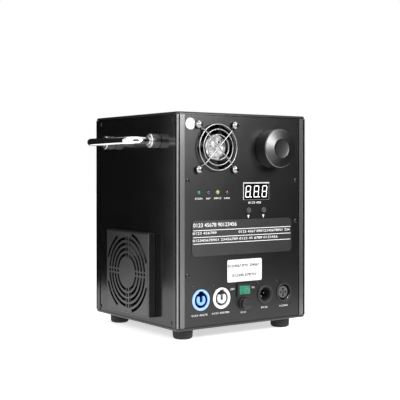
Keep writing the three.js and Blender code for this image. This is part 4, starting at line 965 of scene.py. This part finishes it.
paper = Finish("label_paper", Roughness=0.6)
paper.feed("Base Color", paper.noise(900, 4).blend(grey(0.56), grey(0.64)))
paper.raise_by(0.00003, paper.noise(1200, 3))
ink_black = Finish("ink_black", Roughness=0.5)
ink_black.feed("Base Color", ink_black.noise(1800, 2).blend(grey(0.02), grey(0.05)))


def glued(name, outline, place):
    """A thin piece of paper on the panel."""
    sheet = plate(name, [outline], 0.12 * mm, 0.02 * mm, 0.02 * mm)
    fit(name, sheet, paper.material, place)


glued("paper_label", rectangle(50 * mm, 25.5 * mm, radius=2 * mm), on_panel(93.8, 62.2))
for name, words, wide, x, y in (("upper", "01234567 8901 234567", 45.5, 92.2, 67.9),
                                ("lower", "012345 678901", 34, 92.7, 57)):
    lettered(f"label_{name}_row", words, wide, 3.3, on_panel(x, y, 0.16), ink_black.material, 0.03)
glued("paper_seal", circle(6.4 * mm), on_panel(17.8, 228.8))


# Power sockets: twist-lock inlets and outlets in moulded polyamide, blue for in and white for out.
# A keyed ring stands round a slotted core, and each is held from behind on a square flange.
def tinted(name, colour, shade, deep=None):
    """Moulded plastic in one colour, a little uneven, with painted shade that darkens it to the deep colour
    further inside, where one is given.
    """
    plastic = Finish(name)
    tone = plastic.noise(160, 2).between(0.3, 0.7).blend(colour, shade)
    if deep:
        # Painted shade: darker with depth behind the panel's face.
        depth = plastic.start.node("ShaderNodeSeparateXYZ", None, {0: plastic.place}, 1) - front_y
        tone = depth.between(0.5 * mm, 2.5 * mm).blend(tone, deep)
    plastic.feed("Base Color", tone)
    plastic.feed("Roughness", plastic.noise(300, 2) * 0.1 + 0.3)
    plastic.raise_by(0.00002, plastic.noise(1800, 1))
    return plastic.material


# Painted shade: the wells are lined with darker copies of the rings' plastics, and the cores darken towards
# these colours from half a millimetre behind the panel's face.
blue_depth_shade, white_depth_shade = (0.0, 0.015, 0.12, 1), (0.3, 0.3, 0.31, 1)
pale_blue = tinted("pale_blue_plastic", (0.3, 0.46, 0.8, 1), (0.26, 0.42, 0.78, 1))
blue_well_painted_shade = tinted("deep_blue_plastic", (0.0, 0.012, 0.12, 1), (0.0, 0.02, 0.17, 1))
core_blue_and_depth_shade = tinted("core_blue_plastic", (0.2, 0.42, 0.85, 1), (0.16, 0.36, 0.8, 1), blue_depth_shade)
ring_white = tinted("ring_white_plastic", (0.86, 0.86, 0.87, 1), (0.8, 0.8, 0.81, 1))
white_well_painted_shade = tinted("well_grey_plastic", white_depth_shade, (0.24, 0.24, 0.25, 1))
core_white_and_depth_shade = tinted("core_white_plastic", (0.84, 0.84, 0.85, 1), (0.78, 0.78, 0.79, 1), white_depth_shade)
socket_back, well_floor, flange_corner = -21, -17, 2


def rod_mesh(radius, low, high, steps):
    """A plain round bar between two heights, in millimetres."""
    return turned(profile((0, low), (radius, low), (radius, high), (0, high)), "rod", steps)


def socket_flange(node, hole, place, steps):
    """The square flange that holds a socket from behind the sheet, with a round hole in it."""
    square = box_mesh(26, 34, flange_back, behind_sheet, edge=flange_corner)
    flange = carved(f"{node}_flange", [square], [rod_mesh(hole, -5, 0, steps)])
    fit(f"{node}_flange", flange, fan_plastic, place)


def power_socket(way, ring_finish, well_shade_finish, core_finish):
    """One twist-lock socket: its ring and flange, a sheet of painted shade that lines its well, and its core.
    """
    node = f"power_{way}_socket"
    place = panel_place(node)
    barrel_radius = 11.9
    outline = profile((0, socket_back), (barrel_radius, socket_back), (barrel_radius, 0.8, 0.5), (0, 0.8),
                      steps=5)
    barrel = turned(outline, "barrel", 72)
    well = turned(profile((0, well_floor), (8.7, well_floor), (8.7, 0.2), (9.2, 1.4), (0, 1.4)), "well", 64)
    key = box_mesh(6, 10, well_floor, 3, 0, 5, 0.6)
    fit(f"{node}_ring", carved(f"{node}_ring", [barrel], [well, key]), ring_finish, place, nodes=[node])
    socket_flange(node, barrel_radius, place, 72)
    shade_sheet_outer = [rod_mesh(8.68, -16.98, 0, 64), box_mesh(5.96, 9.96, -16.98, 0, 0, 4.98, 0.6)]
    shade_sheet_inner = [rod_mesh(8.4, -16.6, 2, 64), box_mesh(5.4, 9.6, -16.6, 2, 0, 4.8, 0.5)]
    fit(f"{node}_lining", carved(f"{node}_lining", shade_sheet_outer, shade_sheet_inner), well_shade_finish, place)
    core = turned(profile((0, -16.8), (5.9, -16.8), (5.9, 0.8, 0.4), (0, 0.8)), "core", 56)
    gap, above = box_mesh(4.4, 13.2, -16.5, 3, 0, 3.8, 2.19), box_mesh(16, 8, -16.5, 3, 0, 8.2)
    fit(f"{node}_core", carved(f"{node}_core", [core], [gap, above]), core_finish, place)


power_socket("in", pale_blue, blue_well_painted_shade, core_blue_and_depth_shade)
power_socket("out", ring_white, white_well_painted_shade, core_white_and_depth_shade)


# Data sockets: panel connectors in black die-cast shells. The left one has three bright pins deep in its
# cavity, and the right one an insert with four holes and a groove, and a latch spring.
shell_black = painted("connector_shell", 0.03, 0.3, 0.00001, Metallic=0.3)
insert_grey = painted("connector_insert", 0.06, 0.4, 0.00002)
shell_radius, cavity_radius, pin_circle = 11.1, 9.4, 3.75
pin_places = [(-pin_circle, 0), (pin_circle, 0), (0, -pin_circle)]


def data_shell(node, *cavity):
    """A data socket's shell, whose outline ends in its cavity, and its flange. Gives their place."""
    place = panel_place(node)
    outline = profile((0, socket_back), (shell_radius, socket_back), (shell_radius, 1.2, 0.4),
                      (cavity_radius, 1.2, 0.3), *cavity, (0, well_floor))
    shell = turned(outline, f"{node}_shell", 72)
    fit(f"{node}_shell", shell, shell_black, place, nodes=[node])
    socket_flange(node, shell_radius, place, 64)
    return place


male = data_shell("data_in_socket", (cavity_radius, 0.4), (8.4, 0.4, 0.2), (8.4, 1.0, 0.2), (7.8, 1.0, 0.2),
                  (7.8, well_floor))
for number, (x, y) in enumerate(pin_places, 1):
    outline = profile((0, well_floor), (1.2, well_floor), (1.2, -6.3, 0.9), (0, -6.3), steps=5)
    pin = turned(outline, f"pin_{number}", 28)
    fit(f"data_pin_{number}", pin, bright_steel, male @ Matrix.Translation((x * mm, y * mm, 0)))
female = data_shell("data_out_socket", (cavity_radius, well_floor))
core = turned(profile((0, well_floor), (7.2, well_floor), (7.2, -1.2, 0.5), (0, -1.2)), "insert", 56)
cuts = []
for x, y in (*pin_places, (0, pin_circle)):
    hole = rod_mesh(1.3, -13, 0, 24)
    hole.transform(Matrix.Translation((x * mm, y * mm, 0)))
    cuts.append(hole)
cuts.append(box_mesh(1.6, 7.5, -2.4, 0))
fit("data_insert", carved("data_insert", [core], cuts), insert_grey, female)
clip_points = [(x, y, 0.2 * mm) for x, y in circle(8.9 * mm, steps=200)[150:190]]
fit("latch_clip", swept("latch_clip", clip_points, 0.4 * mm, 12, 60), bright_steel, female)


# Power switch and fuse: a snap-in rocker switch, its key in clear green plastic, above a bayonet fuse
# holder whose cap has a coin slot. The fuse is a glass tube with metal ends.
cap_plastic = painted("cap_plastic", 0.008, 0.3, 0.00002)
switch_place = panel_place("switch_body")
bezel_opening = (14.4, 11)
opening = rectangle(bezel_opening[0] * mm, bezel_opening[1] * mm)
bezel_outline = rectangle(20.4 * mm, 15.6 * mm, radius=0.8 * mm)
bezel = plate("switch_bezel", [bezel_outline, opening], 1.7 * mm, 0.35 * mm, 0.3 * mm)
fit("switch_bezel", bezel, cap_plastic, switch_place, nodes=["switch_body"])
shell_mesh = carved("switch_shell", [box_mesh(18.4, 13.4, -17, 0.4)], [box_mesh(*bezel_opening, -4.4, 2)])
fit("switch_shell", shell_mesh, fan_plastic, switch_place)

glow_green = Finish("rocker_green", Roughness=0.3, Transmission_Weight=0.15, Coat_Weight=0.1,
                    Emission_Strength=0.05)
streak = glow_green.noise(260, 2).between(0.4, 0.7)
glow_green.feed("Base Color", streak.blend((0.005, 0.11, 0.055, 1), (0.02, 0.22, 0.12, 1)))
glow_green.feed("Emission Color", streak.blend((0.0, 0.5, 0.25, 1), (0.1, 0.8, 0.5, 1)))
pivot = frame["record"]["behaviour"]["joints"][0]["pos_m"]
section = profile((-5, -3.6, 0.6), (5, -3.6, 0.6), (6.8, 0.2), (6.8, 2.2, 0.5), (0, 0.9, 6), (-6.8, 2.2, 0.5),
                  (-6.8, 0.2), steps=6)
rocker_width, rest_lean = 9.9, math.pi / 18
key_mesh = plate("rocker_key", [section], rocker_width * mm, 0.25 * mm, -rocker_width / 2 * mm)
key_mesh.transform(Matrix.Rotation(math.pi / 2, 4, "X"))
rocker_place = facing((0, -1, 0), pivot) @ Matrix.Rotation(-rest_lean, 4, "Y")
fit("rocker_key", key_mesh, glow_green.material, rocker_place, "rocker", ["switch_rocker"])
lettered("mark_off", "OFF", 6, 2.2, on_panel(76.3, 41.5))
lettered("mark_on", "ON", 4, 2.2, on_panel(106, 41.4))

fuse_place = panel_place("fuse_holder")
holder_outline = profile((0, -30), (5.6, -30), (5.6, 0.3), (7, 0.3, 0.3), (7, 2.3, 0.5), (3.1, 2.3),
                         (3.1, -28), (0, -28))
holder = turned(holder_outline, "fuse_body", 48)
fit("fuse_body", holder, fan_plastic, fuse_place, nodes=["fuse_holder"])
knob_outline = profile((0, -4), (2.8, -4), (2.8, 2.6), (6.1, 2.6, 0.3), (6.1, 6.6, 0.8), (0, 6.6), steps=5)
knob = turned(knob_outline, "fuse_cap", 56)
slotted_knob = carved("fuse_knob", [knob], [box_mesh(14, 1.4, 5.9, 8)])
fit("fuse_knob", slotted_knob, cap_plastic, fuse_place, "fuse_holder_cap", ["fuse_cap"])
low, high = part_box("fuse_link")
outer_end, inner_end, band_length = (front_y - low.y) / mm, (front_y - high.y) / mm, 5
clear_glass = Finish("fuse_glass", Roughness=0.05, Transmission_Weight=0.8, IOR=1.5)
clear_glass.feed("Base Color", clear_glass.noise(300, 1).blend(grey(0.85), grey(0.95)))
tube = rod_mesh(2.4, inner_end, outer_end, 32)
fit("fuse_tube", tube, clear_glass.material, fuse_place, "fuse", ["fuse_link"])
for end, start in (("inner", inner_end), ("outer", outer_end - band_length)):
    stop = start + band_length
    outline = profile((0, start), (2.5, start, 0.3), (2.5, stop, 0.3), (0, stop))
    fit(f"fuse_end_{end}", turned(outline, f"fuse_{end}", 32), bright_steel, fuse_place, "fuse")

for name, words, start, stop, above in (
    ("power_in", "0123 45678", 19.5, 41, 15.8),
    ("power_out", "0123 456789", 47.3, 71.7, 16),
    ("fuse", "0123", 87.8, 95.6, 14),
    ("data_in", "0123", 117.9, 127.5, 17.1),
    ("data_out", "012345", 145.6, 158.4, 16.7),
):
    lettered(f"figures_{name}", words, stop - start, 2, on_panel((start + stop) / 2, above))


# Panel screws: black pan heads with cross recesses, set in from the edges of the four walls, and two more
# on each connector's flange.
black_screw = painted("black_screw", 0.03, 0.25, 0.00001, Metallic=0.7)


def screws(name, places, radius, height, place):
    """Screw heads at points of a wall in millimetres, instanced by Geometry Nodes."""
    pattern = Pattern("screw_heads", "Points", Screw="Object")
    sockets = {"Object": pattern.inputs["Screw"]}
    head = pattern.start.node("GeometryNodeObjectInfo", None, sockets, "Geometry")
    sockets = {1: (0, 0, math.pi / 2), "Seed": 4}
    turn = pattern.start.node("FunctionNodeRandomValue", {"data_type": "FLOAT_VECTOR"}, sockets)
    sockets = {"Points": pattern.inputs["Points"], "Instance": head, "Rotation": turn}
    copies = pattern.start.node("GeometryNodeInstanceOnPoints", None, sockets)
    points = bpy.data.meshes.new(f"{name}_points")
    points.from_pydata([(x * mm, y * mm, 0) for x, y in places], [], [])
    sample = in_scene("screw", screw_mesh("screw", radius * mm, height * mm, radius * 1.1 * mm))
    made = pattern.made(copies, points, black_screw, Screw=sample)
    bpy.data.objects.remove(sample)
    fit(name, made, black_screw, place)


wall_screw_radius = 2.6
panel_screw_places = [(14.5, 165.5), (14, 60.5), (171, 165), (171, 116.6)]
screws("panel_screws", panel_screw_places, wall_screw_radius, 0.9, on_panel(0, 0))
socket_screw_places = []
for node in ("power_in_socket", "power_out_socket", "data_in_socket", "data_out_socket"):
    x, y = (along / mm for along in panel_point(node))
    socket_screw_places += [(x - 10.5, y + 14.5), (x + 10.5, y - 14.5)]
screws("socket_screws", socket_screw_places, 1.5, 0.4, on_panel(0, 0))


def corner_screws(name, span, place):
    """Four screws, one by each corner of a wall that spans the case, whose place is its lower corner."""
    from_edge, foot, drop = 11.6, 8, 5.5
    heights = (foot, (top_low.z - floor_z) / mm - drop)
    places = [(x, y) for x in (from_edge, span / mm - from_edge) for y in heights]
    screws(name, places, wall_screw_radius, 0.75, place)


plain_x, back_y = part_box("plain_side_panel")[1].x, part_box("back_panel")[1].y
case_size = case_high - case_low
corner_screws("side_screws", case_size.y, facing((-1, 0, 0), (left_x, case_high.y, floor_z)))
corner_screws("plain_side_screws", case_size.y, facing((1, 0, 0), (plain_x, case_low.y, floor_z)))
corner_screws("back_screws", case_size.x, facing((0, 1, 0), (case_high.x, back_y, floor_z)))


# Nozzle: a brushed steel ring on the top cover round a thin steel tube, browned by heat at its mouth.
# Under it stand the heater tube in its fibre sleeve, the blower, the auger feed and the hopper. They and
# the electrics keep the shapes of the CAD model.
def brushed(name, level, roughness, heat=False):
    """Brushed steel, straw brown where heat has reached it."""
    steel = Finish(name, Metallic=1.0)
    grain = steel.noise(900, 3)
    tone = grain.between(0.3, 0.7).blend(grey(level * 0.85), grey(level * 1.1))
    if heat:
        height = steel.start.node("ShaderNodeSeparateXYZ", None, {0: steel.place}, 2)
        hot = (height + steel.noise(60, 2) * 0.01).between(0.235, 0.262)
        tone = hot.blend(tone, (0.42, 0.27, 0.12, 1))
    steel.feed("Base Color", tone)
    steel.feed("Roughness", grain * 0.2 + (roughness - 0.1))
    steel.raise_by(0.00002, grain)
    return steel.material


ring_steel = brushed("nozzle_ring_steel", 0.55, 0.32)
hot_steel = brushed("hot_steel", 0.42, 0.38, heat=True)
plain_steel = brushed("plain_steel", 0.5, 0.35)
axis = middle_of("nozzle_ring")
axis.z = 0
on_axis = Matrix.Translation(axis)
low_z, high_z = (corner.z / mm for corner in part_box("nozzle_ring"))
ring_outline = profile((nozzle_bore, low_z), (30, low_z, 0.2), (30, high_z, 1.2), (16.2, high_z, 0.3),
                       (nozzle_bore, high_z - 1.2, 0.3), steps=6)
ring_mesh = turned(ring_outline, "ring_turning", 96)
fit("ring_turning", ring_mesh, ring_steel, on_axis, nodes=["nozzle_ring"])
low_z, high_z = (corner.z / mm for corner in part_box("nozzle_tube"))
tube_outline = profile((12.5, low_z), (19, low_z), (19, low_z + 2, 0.3), (14, low_z + 2, 0.6),
                       (14, high_z, 0.4), (12.5, high_z, 0.4))
fit("spark_tube", turned(tube_outline, "spark_tube", 72), hot_steel, on_axis, nodes=["nozzle_tube"])

fibre = Finish("fibre_sleeve", Roughness=0.95)
fibre.feed("Base Color", fibre.noise(250, 4).blend((0.55, 0.5, 0.4, 1), (0.75, 0.71, 0.62, 1)))
fibre.raise_by(0.0008, fibre.noise(500, 3))
board_green = Finish("board_green", Roughness=0.4)
board_green.feed("Base Color", board_green.noise(220, 1).between(0.45, 0.55).blend(
    (0.01, 0.06, 0.02, 1), (0.02, 0.11, 0.04, 1)))
supply_sheet = brushed("supply_sheet", 0.55, 0.42)
hidden_finishes = {
    "heater_tube": hot_steel, "heater_sleeve": fibre.material, "feed_tube": plain_steel,
    "feed_auger": plain_steel, "feed_motor": plain_steel, "power_supply": supply_sheet,
    "control_board": board_green.material, "driver_board": board_green.material, "hopper": fan_plastic,
    "blower_housing": fan_plastic, "blower_impeller": fan_plastic,
}
for node, finish in hidden_finishes.items():
    dress(node, finish)


# Studio: a white floor, a large soft light on the left, a smaller one in front on the right and a third
# above, and dim walls that only reflections show, with a gap in them on the left and one on the right.
def background_rays(start):
    """1 for the rays that see the background: the camera's, reflected ones and those through glass."""
    seen, glossy, through = (start.node("ShaderNodeLightPath", output=f"Is {ray} Ray")
                             for ray in ("Camera", "Glossy", "Transmission"))
    return seen + glossy + through


def stage_material(name, colour):
    """A stage material in one colour with no shine, and its shader."""
    material = bpy.data.materials.new(name)
    material.use_nodes = True
    shader = material.node_tree.nodes["Principled BSDF"]
    shader.inputs["Base Color"].default_value = colour
    shader.inputs["Specular IOR Level"].default_value = 0.0
    return material, shader


floor_white, shader = stage_material("floor_white", (0.85, 0.85, 0.85, 1))
shader.inputs["Roughness"].default_value = 0.9
shader.inputs["Emission Color"].default_value = (1, 1, 1, 1)
lift = background_rays(Shade(floor_white.node_tree)) * 0.6
floor_white.node_tree.links.new(lift.socket, shader.inputs["Emission Strength"])
form = bmesh.new()
bmesh.ops.create_circle(form, cap_ends=True, radius=6, segments=96)
floor = in_scene("floor", plain_mesh(form, "floor"))
floor.data.materials.append(floor_white)

form = bmesh.new()
wall_steps = 24
for radius, height, start, stop in (
    (0.36, 0.35, -67, -15), (0.75, 0.6, -20, 92), (0.47, 0.75, 90, 137), (0.75, 0.6, -138, -73),
):
    turns = [math.radians(start + (stop - start) * k / wall_steps) for k in range(wall_steps + 1)]
    foot, head = [[form.verts.new((radius * math.cos(a), radius * math.sin(a), z)) for a in turns]
                  for z in (0.0, height)]
    for k in range(wall_steps):
        form.faces.new((foot[k], foot[k + 1], head[k + 1], head[k]))
room = in_scene("dim_room", plain_mesh(form, "dim_room"))
room.data.materials.append(stage_material("dim_room", (0.01, 0.01, 0.01, 1))[0])
room.visible_camera = room.visible_diffuse = room.visible_shadow = room.visible_transmission = False


def soft_light(name, place, aim, wide, tall, watts):
    """A rectangular lamp at a place, turned towards its aim."""
    light = bpy.data.lights.new(name, "AREA")
    light.shape, light.size, light.size_y, light.energy = "RECTANGLE", wide, tall, watts
    holder = in_scene(name, light)
    holder.location = place
    holder.rotation_euler = (Vector(aim) - Vector(place)).to_track_quat("-Z", "Y").to_euler()


soft_light("left_light", (-0.8, -0.3, 0.5), (0, 0, 0.12), 0.8, 0.7, 5.5)
soft_light("front_light", (0.14, -0.62, 0.42), (-0.02, -0.08, 0.2), 0.3, 0.3, 5.2)
soft_light("top_light", (0, 0.1, 1.5), (0, 0, 0), 1.2, 1.2, 12)

world = bpy.data.worlds.new("studio")
bpy.context.scene.world = world
world.use_nodes = True
sky = world.node_tree.nodes["Background"]
strength = background_rays(Shade(world.node_tree)).between(0.0, 1.0) * 0.5 + 0.5
world.node_tree.links.new(strength.socket, sky.inputs["Strength"])
sky.inputs["Color"].default_value = (1, 1, 1, 1)
